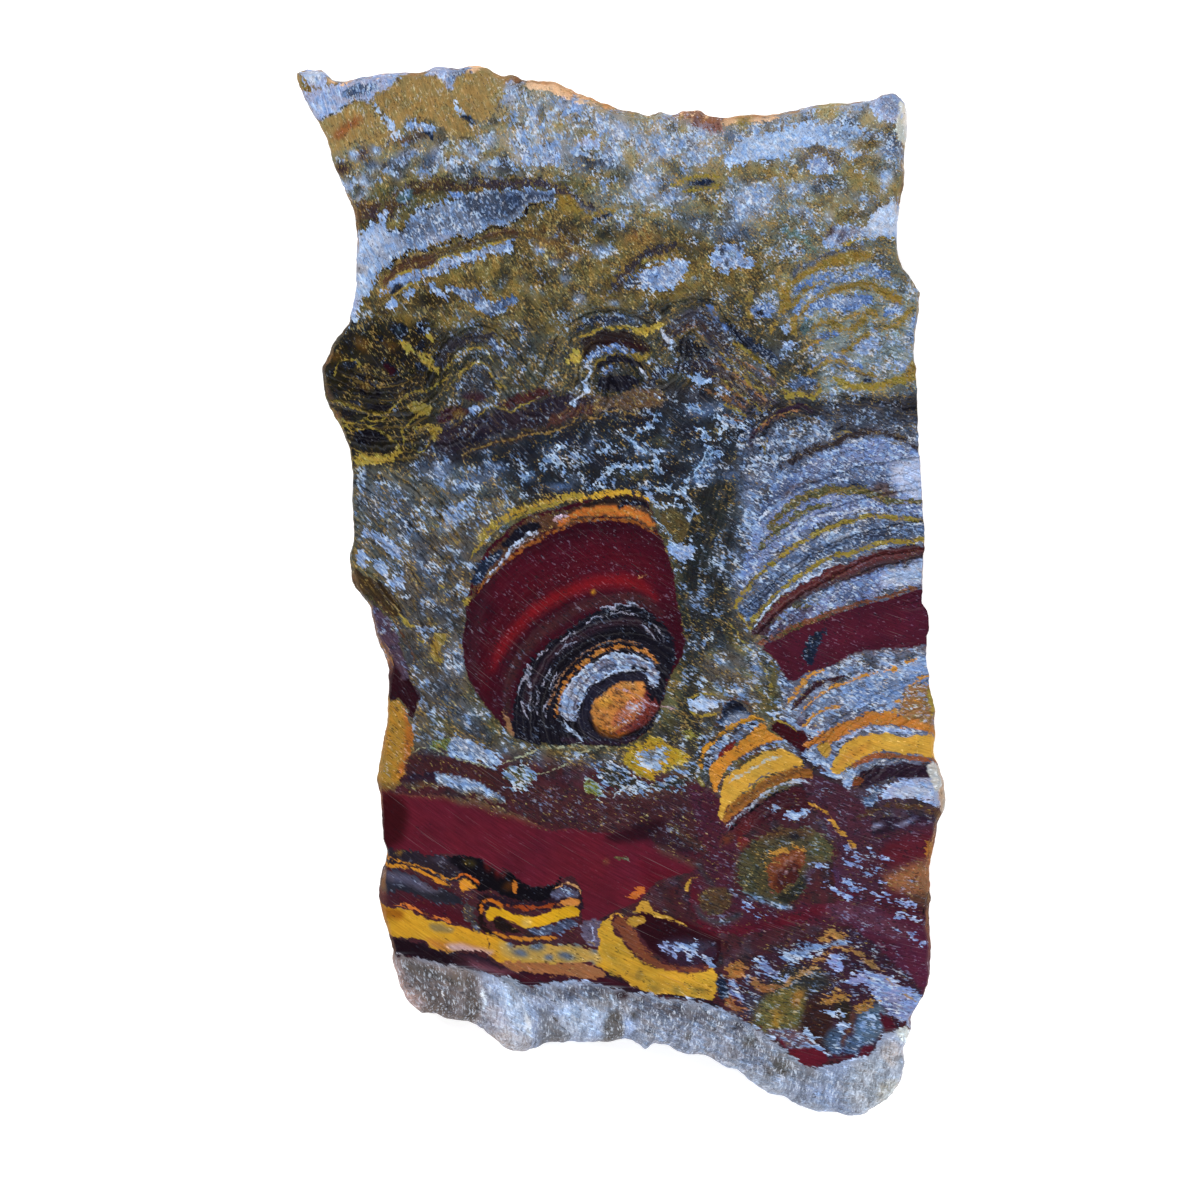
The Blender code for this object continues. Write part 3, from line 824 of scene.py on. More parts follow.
# ---- beds under the wedge
band(1, "brown", "380,282 392,270 408,258 430,254 452,248 470,243 490,234 512,228", "384,286 399,276 410,271 427,268 443,259 462,254 483,247 502,242 516,238")
tint(1, "olive", "440,252 500,236 510,240 470,252 440,260", soft=4, strength=.7)
thin("golden", "386,284 396,276 410,271 427,268 436,264 443,259 455,255 470,251 484,247 500,242 512,240", 2.6)
lay(1, "pale", "382,293 390,286 399,280 418,275 432,272 443,266 460,260 481,254 500,248 508,246", [6, 9, 10, 10, 9, 9, 8])
lay(1, "navy", "389,290 394,282 401,283 400,290 393,293")
thin("golden", "392,294 402,288 412,283 424,282", 2.4)
lay(1, "pale", "425,282 433,288 440,293 449,298", [4, 6, 7, 4])
lay(1, "slate", "452,289 460,293 474,297 483,306 490,312 502,304 512,302", [6, 10, 12, 12, 10, 8])
blot(1, "white", 480, 308, 8, 6, 0, .7)
blot(1, "white", 462, 294, 6, 5, 0, .6)
lay(1, "pale", "387,303 392,300 397,303 394,309 388,308")
lay(1, "pale", "403,294 410,292 408,298", 4)
for x, y, rx, ry, t in ((422, 298, 12, 9, 0), (453, 279, 14, 8, -10), (404, 318, 12, 8, 0), (480, 275, 7, 8, 0), (500, 272, 14, 10, 0), (520, 286, 14, 9, 0), (540, 300, 12, 9, 0),
                        (510, 315, 14, 8, 0), (450, 322, 18, 6, -12), (556, 330, 12, 12, 0), (540, 320, 9, 9, 0), (500, 330, 14, 12, 0), (600, 272, 14, 10, 0), (618, 300, 14, 8, 0), (640, 300, 18, 6, 0), (690, 282, 16, 8, -20), (670, 296, 20, 6, -10)):
    blot(0, "ochre", x, y, rx, ry, t, .62)
for x, y, rx, ry, t in ((554, 261, 7, 7, 0), (600, 250, 12, 7, 0), (573, 348 - 0, 1, 1, 0), (565, 279, 6, 6, 0), (580, 298, 7, 8, 0), (498, 247, 10, 4, 0), (575, 258, 7, 4, 0), (537, 250, 5, 5, 0), (614, 303, 7, 3, 0)):
    blot(0, "pale", x, y, rx, ry, t, .75)
for x, y, rx, ry, t in ((514, 248, 7, 16, 10), (501, 280, 9, 10, 0), (531, 308, 5, 14, -30), (575, 225, 14, 6, 0), (666, 228, 20, 6, 20), (644, 262, 6, 10, 30), (607, 232, 14, 7, 0)):
    blot(0, "olive_dark", x, y, rx, ry, t, .7)
for x, y, rx, ry, t in ((552, 236, 30, 12, 0), (565, 252, 18, 9, 0), (640, 236, 20, 9, 0)):
    blot(0, (120, 78, 42, .10, .25, .30, 1), x, y, rx, ry, t, .6)
lay(1, "ochre", "586,218 594,213 604,210 616,210", 4.0)
lay(1, "navy", "592,221 602,217 613,216", 5.0)
lay(1, (60, 52, 58, .14, .34, .12, 1.9), "616,286 622,274 631,265 645,254 660,249 676,246", [8, 11, 11, 10, 9, 6])
lay(1, "golden", "640,262 652,258 668,256", 3.0)
lay(1, "pale", "637,288 640,272 652,266 666,262 680,258 688,264 682,278 672,288 656,290")
tint(1, "slate", "640,286 652,268 664,270 656,284", soft=5, strength=.35)
lay(1, (52, 60, 80, .34, .4, .04, 1.8), "628,276 636,272 640,284 634,290 626,286")
lay(1, "golden", "672,186 688,178 703,176 722,176", 3.6)
lay(1, "golden", "680,193 695,189 710,187 724,184", 4.0)
lay(1, "navy", "686,183 696,179 712,179 712,184 698,186")
lay(1, (104, 120, 108, .26, .3, .2, 1.8), "775,226 788,232 801,240 816,254", [5, 8, 8, 6])
lay(1, "pale", "716,246 722,243 738,242 744,248 742,256 754,258 753,264 740,268 728,272 718,270 712,260")
blot(1, (34, 38, 52, .2, .2, 0, 1.2), 723, 251, 4, 5, 0, .95)
blot(1, (34, 38, 52, .2, .2, 0, 1.2), 740, 247, 3, 4, 0, .9)
blot(1, (34, 38, 52, .2, .2, 0, 1.2), 728, 264, 2.5, 4, 0, .9)
blot(1, (120, 122, 104, .2, .2, .2, 1.2), 733, 254, 4, 3, 0, .6)

# ---- right-hand quartz block, and the arcs below it
lay(1, (156, 170, 206, .44, .28, .04, 1.5), "826,232 832,224 842,224 852,226 866,226 873,213 882,204 895,200 903,206 900,236 876,238 855,238 841,245 828,248 822,240")
tint(1, (204, 214, 236, .3, .06, 0, 1), "872,216 884,205 896,202 902,208 898,234 880,236 868,230", soft=5, strength=.7)
blot(1, (58, 42, 44, .16, .3, .04, 1.4), 830, 229, 5, 9, 35, .9)
blot(1, (58, 42, 44, .16, .3, .04, 1.4), 841, 236, 4, 7, 20, .85)
blot(1, (116, 108, 128, .4, .3, .02, 1.4), 850, 234, 14, 8, 0, .6)
thin((60, 46, 46), "826,222 832,228 830,236", 1.6)
thin("golden", "828,251 841,248 855,240 869,238 897,238", 2.2)
band(0, (112, 112, 98, .26, .3, .3, 1.2), "840,250 870,241 900,240", "830,262 870,262 916,290", soft=5)
lay(1, "grey", "792,276 800,268 807,266 829,256 845,249 862,245", [4, 6, 7, 7, 6, 4])
lay(1, "ochre", "782,296 788,286 794,281 806,273 825,265 847,258 866,255", [6, 7, 8, 9, 12, 13, 8])
lay(2, "blue", "794,291 802,284 811,280 825,275 840,272", [4, 5, 6, 6, 4])
lay(1, "ochre", "794,303 803,290 811,285 826,282 847,276 858,270", [5, 5, 5, 5, 4, 3])
lay(2, "blue", "795,314 800,303 806,296 814,290 832,282 847,279 861,271 874,271 886,276", [4, 4, 5, 6, 8, 9, 11, 9])
blot(2, "white", 866, 273, 12, 4, 0, .5)
lay(1, "ochre", "794,332 795,319 803,309 817,298 835,292 853,286 869,286 884,292 896,300", [8, 7, 6, 6, 6, 7, 9, 11])
lay(1, "ochre", "775,284 782,292 786,302 783,312", [6, 9, 11, 8])
lay(2, "blue", "806,317 808,307 819,299 835,295 854,296 867,294 873,301 865,307 849,312 834,310 822,309 814,313")
tint(2, "slate", "806,316 812,306 822,303 818,311", soft=3, strength=.6)
blot(2, "white", 846, 302, 16, 4, -5, .45)
lay(1, "teal", "800,333 802,324 812,320 812,330 806,336")
lay(1, "ochre", "812,330 820,322 831,320 838,328 851,330 860,322 866,314", [4, 5, 7, 7, 6, 6, 4])
lay(1, "blue", "882,314 886,307 895,303 900,308 894,314 886,317")
lay(1, "blue", "909,318 914,314 920,316 918,328 912,326")
lay(1, "blue", "810,348 820,340 831,334 840,334", [4, 6, 7, 4])
lay(1, "pale", "854,346 860,340 872,338 880,342 876,350 866,353 857,352")
lay(1, "pale", "891,371 896,362 904,358 910,356 906,366 898,372")
blot(0, "pale", 911, 338, 8, 6, 0, .7)
for pts, w in (("834,354 847,350 856,344 862,337 872,334", 4.0), ("806,376 816,366 824,362 834,361 845,363 851,369 865,374 878,377", 4.2), ("802,352 812,344 822,340", 3.2), ("842,320 856,314 870,312 880,318", 4.0), ("880,330 892,326 902,318 912,306", 5.0)):
    lay(1, "ochre", pts, w)
    thin((164, 128, 62), pts, 1.4)
lay(1, "blue", "812,368 819,361 827,357 841,356 850,362 862,369", [2, 3, 4, 4, 3, 2])
lay(1, "golden", "836,378 841,381 849,386 867,388 878,385 894,381 908,379 922,377", [4, 6, 7, 7, 7, 8, 8, 8])
lay(1, "ochre", "904,378 908,366 916,360 924,360 924,380")
lay(1, "pale", "845,376 850,373 858,376 856,382 848,382")
lay(1, "navy", "856,374 870,380 864,383", 4.0)
lay(1, "golden", "784,391 790,397 800,395 814,396 820,389", [3, 5, 6, 6, 4])
lay(1, "slate", "788,386 798,377 812,377 818,386 806,390 796,391")
lay(1, "blue", "751,316 753,305 762,302 774,302 776,310 772,316 760,319")
lay(2, "black", "755,312 760,310 764,314 758,317")
for pts in ("752,292 748,304 750,314 754,324", "779,318 775,326 771,334"):
    lay(1, "ochre", pts, 5)
lay(1, "pale", "781,342 786,340 793,342 794,348 786,350")
lay(1, "pale", "783,328 788,324 790,330 785,333")
beds("782,330 790,290 830,262 900,240 930,280 930,380 860,392 800,392", (850, 470), .38)
beds("380,262 440,244 500,226 520,232 500,252 440,272 384,300", "360,300 400,270 450,252 500,240 560,225 620,210", .35)

# ---- left bulge
for x, y, rx, ry, t in ((352, 345, 22, 14, 30), (385, 350, 24, 16, 30), (350, 385, 26, 18, 0), (400, 380, 26, 16, 0), (370, 420, 26, 16, 20), (380, 452, 24, 10, 0), (420, 340, 16, 14, 0), (430, 300, 20, 10, 0)):
    blot(0, (32, 27, 15, .02, .40, .15, .8), x, y, rx, ry, t, .85)
for x, y, rx, ry, t in ((362, 345, 9, 6, 50), (333, 357, 8, 6, 0), (367, 386, 8, 5, 0), (388, 345, 10, 7, 30), (402, 394, 7, 5, 0), (340, 415, 9, 4, 20)):
    blot(0, (112, 74, 32, .02, .24, .3, .8), x, y, rx, ry, t, .6)
lay(1, "golden", "398,339 406,341 414,348 412,354 404,350 399,345", shade=.1)
lay(1, "golden", "420,349 427,356 436,366 440,372 433,371 424,362", shade=.15)
lay(1, "golden", "424,330 430,334 434,342 428,342", shade=.05)
for pts in ("390,327 395,323 402,324 407,330 407,338 400,340 393,334", "415,329 420,322 426,323 429,330 424,335 417,334", "344,366 348,362 354,363 355,368 349,370", "382,362 388,360 394,366 400,373 396,376 388,371", "374,344 378,336 381,336 378,344",
            "416,344 424,342 427,348 420,351", "416,364 424,362 428,368 420,371"):
    lay(2, "navy", pts, shade=-.45)
blot(2, "teal", 398, 330, 4, 3, 0, .5)
lay(2, "maroon_dark", "383,361 390,366 396,372 392,376 385,370")
for pts, w in (("354,380 358,377 366,380 374,386 380,393 376,397 368,394 360,388 355,384", 2.6), ("333,373 338,368 344,372", 3.0), ("400,388 406,390 404,396", 3)):
    lay(2, "black", pts, w)
thin("black", "323,371 326,380 325,388", 2.5)
for pts, w in (
    ("321,396 330,399 337,402 352,408 369,412 387,414 394,408 407,396 418,391 432,388 441,382 450,372", 2.8),
    ("337,416 351,423 365,420 379,421 390,418", 2.2),
    ("333,421 345,425 356,430 369,427 382,433 390,440 399,447 402,454", 2.4),
    ("336,378 339,363 345,360 353,361 360,366 358,371", 2.2),
    ("443,371 450,363 460,353 472,348 481,348 488,353 494,362", 3.0),
    ("446,393 453,382 460,372 469,366 479,363 487,367 491,376 498,385 505,385", 3.0),
    ("411,437 417,429 427,426 439,427 442,432 432,438 424,450 414,449 410,442", 2.6),
    ("478,416 488,407 500,408 508,412 519,407 530,404 541,396", 2.2),
    ("392,458 400,450 404,440 402,430 412,420 424,410", 2.4),
    ("436,362 430,355 424,351", 2.2), ("353,447 362,452 376,455 392,454", 2.0),
):
    thin("golden", pts, 0.85 * w, shade=-.04)
lay(1, "black", "346,400 357,401 366,403 376,404 388,405 396,407 407,409 396,412 382,411 366,408 352,404")
tint(1, "navy", "350,400 372,404 366,408 352,404", soft=2, strength=.7)
tint(1, "navy", "392,406 408,408 408,412 394,411", soft=2, strength=.7)
lay(1, "black", "353,436 356,429 368,428 380,432 386,438 376,443 362,444")
lay(1, "black", "338,410 346,410 354,414 350,417 340,414")
lay(1, "golden", "354,456 362,453 376,456 388,455 396,450 398,458 386,463 368,464 354,463", shade=.1)
lay(1, "golden", "408,404 416,402 426,404 432,410 426,416 414,413", shade=-.1)
lay(1, "golden", "430,428 440,426 446,432 436,440 430,436")
shine("318,330 380,320 432,332 440,400 420,440 380,460 330,440 312,390", .7)
beds("318,380 360,370 430,380 450,400 430,460 350,470 330,430", "320,380 360,395 400,398 450,370", .45)

# ---- arches in the middle
lay(1, (54, 50, 60, .18, .34, .04, 1.8), "434,366 438,354 444,346 456,338 470,334 486,332 496,333 494,340 486,340 472,342 460,347 450,356 442,367", shade=-.12)
lay(1, "slate", "492,338 500,343 508,352 504,358 497,352 491,346")
lay(1, "olive_dark", "452,370 460,362 472,355 484,355 486,360 474,362 462,369 455,374", shade=-.1)
lay(1, "grey", "455,394 457,385 463,377 470,370 479,367 487,371 491,381 493,390 490,396 483,402 469,402 460,398", shade=-.3)
tint(1, "maroon_grey", "464,396 472,392 484,394 482,402 468,402", soft=4, strength=.8)
lay(1, "pale", "469,409 476,405 482,408 478,412 471,412")
lay(1, "maroon_grey", "438,422 442,412 452,406 462,406 470,412 462,417 450,420 442,424")
tint(1, "ochre", "452,412 462,410 466,416 454,418", soft=3, strength=.6)
lay(1, (70, 34, 36, .1, .34, .03, 1.1), "498,404 508,399 520,394 534,391 548,388 550,395 536,400 520,405 506,408")
band(1, (52, 40, 56, .16, .28, .04, 1.2), "436,436 446,427 460,422 480,418 500,410 516,411 540,402 562,395 586,396 600,398", "444,455 460,450 481,440 502,433 523,430 540,427 552,418 570,410 586,405 600,402", shade=-.18)
tint(1, "inky", "446,446 470,436 500,430 486,440 460,449", soft=4, strength=.7)
lay(1, (80, 48, 44, .1, .34, .08, 1.1), "546,424 556,412 572,406 588,404 598,404 596,412 582,415 566,420 552,428")
lay(1, (62, 46, 40, .1, .36, .08, 1.2), "466,456 474,449 488,446 502,441 516,438 528,432 541,430 554,428 566,422", [4, 5, 6, 6, 6, 5, 4, 3])
thin((132, 104, 58), "462,456 472,449 488,446 502,441 514,439 522,435 534,434 545,434 555,431 566,425 577,419 587,416 599,417 607,413 618,411 632,414 646,418", 2.0)
lay(1, (98, 74, 58, .2, .3, .2, 1), "600,386 620,386 645,388 662,392 660,404 640,411 618,408 600,412 592,404")
lay(1, "olive_dark", "592,366 600,358 640,358 642,380 630,392 604,396 590,388", shade=-.1)
# left nest
for pts, w, name in (
    ("573,334 576,326 583,319 592,313 604,309 618,309 630,311", 2.2, "olive_dark"),
    ("570,345 571,338", 2.0, "olive_dark"),
):
    thin(name, pts, w, shade=-.3)
lay(1, "navy", "577,334 582,327 592,322 604,320 618,320 628,321", [5, 7, 8, 8, 7, 4], shade=-.1)
thin("golden", "577,337 588,336 597,331 606,328 618,327 632,329 643,329 654,327 665,322", 3.0)
lay(1, "golden", "632,332 640,328 650,327 658,322 666,321 662,327 652,331 642,334", shade=.25)
band(1, "brown_dark", "582,342 592,337 604,332 616,331 632,335 646,342 652,348", "582,362 592,355 604,349 615,346 632,350 644,352 652,350")
tint(1, "maroon_dark", "600,346 616,341 636,344 646,348 630,348 612,347", soft=3, strength=.7)
lay(2, "blue", "586,363 592,357 600,352 608,350 616,348 624,350 633,350", [3, 4.5, 5, 6, 6, 5, 3], shade=-.05)
lay(1, "golden", "594,366 602,359 612,355 624,354 634,355 642,357 651,351", [3, 3.5, 4, 4, 6, 7, 3], shade=-.15)
lay(2, "inky", "598,367 606,361 616,358 628,359 638,364 642,370", [4, 6, 8, 8, 7, 4])
lay(2, "blue", "603,374 606,367 612,365 612,371 607,375", shade=-.1)
lay(1, "golden", "567,362 570,355 576,350 581,350 583,358 578,363 572,364", shade=.2)
lay(2, "inky", "596,386 604,376 616,374 630,377 640,382 632,390 612,392")
for pts, w in (("576,401 583,394 588,391 584,384 588,378 591,371 586,368 594,366", 3.0), ("576,401 570,404", 4.0), ("639,367 643,374 646,380", 3.4), ("662,328 665,336 671,342 677,344", 4.2), ("573,393 580,385", 2.5),
               ("655,392 660,398", 2.8), ("668,346 672,350", 3)):
    thin("white", pts, w)
# right nest
band(1, (54, 50, 60, .22, .30, .10, 1.2), "662,340 668,326 678,316 689,310 703,309 716,317 724,330 732,342", "668,348 676,338 684,332 696,330 704,336 710,346 716,354 728,362")
for pts, name in (
    ("668,334 676,324 688,317 702,316 712,324 719,335 727,346", "grey"),
    ("672,337 680,328 690,323 700,323 709,331 716,343", "brown"),
    ("666,328 676,317 688,311 703,310 716,319 722,330 730,342", "grey"),
    ("676,336 684,330 694,328 702,333 708,343", "tan"),
):
    thin(name, pts, 1.2, shade=-.2)
thin("blue", "705,305 711,309 717,317 721,324 729,333", 4.4, shade=-.1)
lay(2, (24, 25, 34, .18, .16, .03, 1.4), "676,342 682,337 694,338 702,342 706,350 702,358 690,361 680,356 674,350")
band(1, (38, 38, 52, .26, .26, .06, 1.3), "640,384 648,376 656,370 669,365 686,360 702,359 719,364 740,375 752,384", "652,387 662,378 674,371 694,377 712,381 728,389 742,396 754,408")
tint(1, (50, 38, 52, .2, .28, .06, 1), "690,362 720,366 750,384 748,400 728,388 706,378", soft=4, strength=.6)
tint(1, "navy", "655,372 668,367 672,372 660,380 652,386", soft=3, strength=.8)
lay(2, (150, 172, 206, .4, .2, 0, 2.0), "692,378 698,377 710,381 706,385 696,384")
lay(2, "white", "718,388 724,388 730,392 724,394", shade=-.05)
thin((112, 76, 48), "688,385 702,388 716,393 730,400 744,407", 2.6)
lay(1, (60, 50, 56, .20, .30, .14, 1.6), "714,352 730,364 748,378 764,392 778,402 764,408 752,408 738,400 724,390 716,374")
for pts in ("720,364 736,371 752,383 766,394", "733,341 753,354 764,365 779,376", "722,404 736,410 746,418"):
    thin("golden", pts, 3.2, shade=-.08)
for pts, w in (("728,356 740,363 753,372 766,381 776,388", 7), ("720,396 734,402 746,412 750,420", 7)):
    lay(1, (66, 54, 62, .2, .3, .08, 1.4), pts, 0.7 * w)
for k, name in enumerate(("golden", "slate", "tan", "grey", "golden", "slate")):
    d = 5.5 * k
    thin(name, f"{712 - 0.5 * d},{346 + d} {730 - 0.4 * d},{358 + d} {750 - 0.3 * d},{373 + d} {772 - 0.3 * d},{392 + d}", 1.3, shade=-.05)
for pts in ("724,352 742,360 760,372 776,384", "722,384 734,391 748,402", "722,392 734,398 746,408", "722,414 734,418 744,424"):
    thin("tan", pts, 1.4, shade=-.15)
lay(1, "navy", "720,322 734,330 747,341 760,350 776,364", [5, 8, 11, 11, 7])
beds("560,300 660,296 740,300 780,360 780,410 700,400 560,420 540,380", "560,400 570,350 600,330 640,340 660,370 672,330 700,318 725,350 770,400", .42)
for x, y, rx, ry in ((860, 418, 46, 12), (800, 428, 30, 10), (900, 436, 26, 10), (756, 372, 18, 8), (700, 352, 20, 10), (720, 405, 16, 7), (690, 318, 24, 7), (620, 320, 26, 6), (612, 372, 18, 8), (780, 356, 12, 10)):
    blot(0, (96, 106, 128, .40, .36, .05, 1.2), x, y, rx, ry, 0, .55)
    blot(1, (74, 78, 96, .36, .34, .03, 1.2), x, y, rx, ry, 0, .35)
beds("430,330 520,318 545,360 530,430 440,460 420,440", "440,400 455,360 480,345 500,360 530,400 560,395", .42)

# ---- dark laminated arches at the right
lay(1, "plum", "752,450 753,436 760,427 771,419 784,411 800,408 816,414", 5.0)
thin("black", "760,450 760,438 766,429 776,423 788,419", 3.4)
thin("golden", "763,456 764,444 767,436", 2.6)
thin("tan", "755,432 764,423 776,417 790,412 804,412", 1.8)
thin("golden", "757,428 768,420 782,414 796,411", 1.6, shade=-.1)
thin("black", "823,435 834,429 849,424", 3.2)
thin("black", "822,400 830,403 838,405", 3.0)
thin("golden", "832,438 842,434 852,432", 2.4)
lay(1, "slate", "737,444 745,435 752,427 756,424", [3, 5, 6, 4])
blot(0, "slate", 729, 424, 9, 7, 20, .9)
lay(1, (54, 44, 48, .14, .3, .08, 1.4), "782,466 796,456 814,449 841,440 867,432 884,432 907,442 926,454", [4, 7, 8, 8, 7, 6, 6, 6])
beds("744,400 800,388 930,384 930,460 860,436 790,470 745,500", "745,470 756,430 790,405 840,415 870,420 926,430", .4)

# ---- speckled zone with bright veins
for x, y, rx, ry, t in ((552, 456, 12, 9, -30), (527, 475, 9, 6, 0), (640, 449, 14, 5, 40), (700, 412, 16, 8, 0), (706, 462, 12, 14, 20), (728, 474, 10, 8, 0),
                        (700, 480, 16, 6, 0), (560, 487, 12, 5, 0), (480, 478, 24, 9, -10), (440, 470, 16, 9, -20), (422, 466, 8, 6, 0), (494, 466, 14, 6, 0), (462, 488, 12, 7, 0), (590, 447, 5, 8, 0), (664, 452, 6, 3, 0)):
    blot(0, "blue", x, y, rx, ry, t, .62)
for x, y, rx, ry, t in ((570, 440, 16, 8, 0), (640, 420, 20, 8, 0), (690, 432, 14, 8, 0), (520, 455, 20, 9, 0), (600, 460, 26, 8, 0), (668, 470, 16, 7, 0), (450, 455, 20, 7, 0)):
    blot(0, "inky", x, y, rx, ry, t, .55)
for x, y, rx, ry, t in ((635, 474, 18, 6, 0), (660, 441, 8, 6, 0), (600, 495, 24, 5, 0), (720, 430, 10, 8, 0)):
    blot(0, "olive", x, y, rx, ry, t, .5)
for pts, w in (
    ("618,433 625,436 631,441 639,448 646,452 653,455 658,464 660,471", 3.6),
    ("631,437 639,430 649,427 653,417 656,413", 3.2),
    ("604,473 615,465 623,467 632,465 643,467 652,464 657,470 664,472", 3.4),
    ("640,447 650,451 658,452 666,452", 2.8),
    ("538,468 546,463 552,455 560,448 566,446", 3.6), ("556,458 560,468 564,476", 2.6),
    ("693,474 698,466 702,458 706,449 714,444", 4.0), ("700,466 706,462 712,452 720,456", 3.0), ("716,410 720,418 727,425 733,426 740,425", 3.4),
    ("520,480 528,474 534,476", 3.4), ("598,454 604,450 610,446", 2.2), ("684,484 692,478 700,476", 3.0),
    ("685,405 692,410 698,408 706,412", 3.0), ("700,430 708,438 716,440", 2.2), ("592,485 600,478 604,473", 2.6),
    ("576,408 572,402", 2.4), ("644,494 650,498 656,504 664,508", 3.4), ("656,492 668,490 682,494 690,500 694,510 688,520", 3.2),
    ("660,508 670,504 680,506", 2.0), ("652,516 660,524 668,534 672,545 670,552", 2.4), ("668,545 678,548 690,546 695,552", 3.4), ("690,476 684,490 686,500", 2.4),
):
    thin((160, 186, 220), pts, 0.46 * w)
    lay(1, (72, 92, 116, .46, .30, .04, 2.0), pts, 1.25 * w)
lay(1, "pale", "644,494 650,492 656,498 650,503 645,500")
lay(1, "pale", "668,548 680,544 694,548 695,556 684,561 672,556")
lay(1, (88, 74, 46, .1, .3, .2, 1), "662,512 672,508 684,516 688,530 680,542 668,538 660,526")
thin("black", "606,470 612,473", 3.6)

# ---- maroon dome
dome = "465,622 462,646 466,669 476,691 488,710 502,725 515,735 529,742 565,744 600,746 622,745 640,738 655,722 663,698 670,677 681,658 685,642 682,624 678,606 675,586 671,566 665,546 657,530 652,514 648,501 633,494 610,495 583,501 556,509 529,517 511,528 494,543 481,560 472,580 467,601"
lay(1, (57, 11, 27, .07, .12, 0, .5), dome)
tint(1, (82, 16, 33, .07, .08, 0, .5), "500,556 560,540 640,545 684,590 660,606 560,584 496,604", soft=14, strength=.6)
m1 = "499,659 502,646 515,628 533,610 554,596 576,585 597,576 619,576 636,580 654,591 664,602"
m2 = "511,660 520,646 536,628 554,614 576,601 597,592 619,587 640,590 656,600"
tint(1, (128, 22, 30, .04, .08, 0, .5), "492,668 500,650 512,634 530,614 552,600 576,589 600,582 622,580 642,586 656,598", 13, soft=6, strength=.85)
tint(1, (84, 14, 27, .06, .10, 0, .5), "486,690 484,668 496,630 520,600 550,580 590,562 630,560 664,580", 12, soft=9, strength=.5)
tint(1, (70, 40, 42, .14, .26, 0, .7), "504,700 512,672 524,652 540,634 560,620 584,607 610,600 640,600 662,614", 12, soft=5, strength=.8)
tint(1, (74, 40, 50, .12, .26, 0, .8), "466,650 470,620 480,596 492,576 486,600 478,640 474,668", soft=6, strength=.6)
tint(1, (42, 8, 21, .07, .14, 0, .5), "464,660 478,600 496,570 540,545 600,524 650,530", 12, soft=9, strength=.5)
tint(1, "olive_dark", "508,700 506,716 512,732 524,740", 6, soft=3, strength=.5)
thin((150, 86, 38), "478,592 485,580 500,566 516,553 535,541 556,530 577,522 600,519 620,519 638,524 658,534", 3.6, shade=-.08)
# crest
band(2, "brown", "470,598 474,580 484,560 498,544 514,529 532,518 558,511 577,507 586,502 612,496 634,495 648,502", "474,596 484,580 500,565 516,552 535,540 556,529 577,521 600,518 620,518 638,523 656,532")
for pts, w, name in (
    ("476,580 482,568 492,558 499,553", [8, 12, 10, 6], "navy"),
    ("506,544 518,536 530,530 540,527", [8, 12, 12, 6], "inky"),
):
    lay(2, name, pts, w)
lay(2, (188, 104, 44, .04, .16, .1, .8), "560,522 578,514 600,510 622,510 640,515 652,524", [5, 7, 9, 9, 9, 6])
lay(2, "brown_dark", "584,506 600,501 616,499 634,500 646,505", [4, 5, 7, 8, 5])
lay(2, "inky", "616,508 624,504 636,503 648,507", [3, 5, 6, 4])
lay(2, "orange", "590,512 606,508 624,511 640,517", 3.6, shade=.05)
thin("white", "485,582 492,572 499,564 505,557 511,549 520,541 529,535 539,532", 3.0)
thin("pink", "553,520 560,517 569,515", 3.6)
thin("golden", "470,560 480,545 490,533 500,526 516,517 536,510 556,504 566,500", 2.8, shade=-.05)
lay(1, (172, 138, 52, .12, .22, .3, 1.8), "484,536 492,526 504,518 520,511 540,505 562,499 582,496", [4, 7, 9, 9, 8, 5])
lay(3, (206, 158, 52, .04, .1, .1, .8), "582,500 596,496 612,494 628,492 642,495 650,502", [2.5, 4, 4.5, 4.5, 4, 2.5])
# black ring
band(2, "inky", "512,712 517,691 526,669 540,651 551,641 565,632 576,623 592,614 610,607 636,605 654,616 669,632 674,652", "514,736 529,744 565,745 600,746 619,746 636,739 654,725 663,694 670,673 674,664")
tint(2, (62, 34, 46, .12, .2, 0, .8), "524,712 530,690 542,668 556,652 572,640 592,630 612,623 636,622 652,632", 7, soft=4, strength=.7)
tint(2, "black", "540,716 546,694 556,672 572,654 592,641 612,634 634,634 650,640", 7, soft=3, strength=.8)
for pts, w in (
    ("518,696 522,684 527,674 532,668", 2.2), ("527,664 531,672 528,680 532,688", 2.4), ("536,660 542,652 549,648", 2.2),
    ("560,642 568,636 578,630", 2.0), ("600,610 606,606 612,608 620,604 628,607 636,605 645,610", 2.4), ("610,614 620,612 630,614 640,616", 1.8),
    ("538,716 536,706 540,698 538,690", 2.2), ("547,718 545,708 549,700", 2.0), ("530,712 530,702 533,694", 1.8),
    ("541,686 546,676 552,668", 1.8), ("522,700 524,712 528,720", 1.8), ("556,656 566,646 578,640", 1.8), ("586,624 596,618 604,616", 2.0), ("652,622 660,632 664,642", 2.2),
    ("640,624 650,632 657,642", 1.8), ("550,690 553,680 558,672", 1.8),
):
    thin((150, 150, 172), pts, 0.8 * w)
lay(3, "orange", "556,716 560,700 564,688 572,675 582,665 592,657 604,650 620,646 636,648 650,655 656,661", [2.4, 3.2, 3.6, 3.8, 4.0, 3.8, 3.6, 3.2, 3.2, 3, 2.4])
thin("tan", "545,716 551,700 556,688 564,674 576,661 592,649 608,642 626,640 642,645", 1.6, shade=-.1)
band(3, "crescent", "559,712 563,692 574,678 588,666 604,656 620,652 638,656 652,664 659,673 657,684", "572,722 580,702 588,686 601,680 610,673 627,668 644,670 648,679 649,690")
tint(3, (176, 186, 214, .4, .24, 0, .9), "562,712 566,694 573,684 578,690 572,704 570,722", soft=3, strength=.65)
tint(3, "slate", "590,676 604,666 622,662 640,666 640,670 620,668 604,674", soft=3, strength=.6)
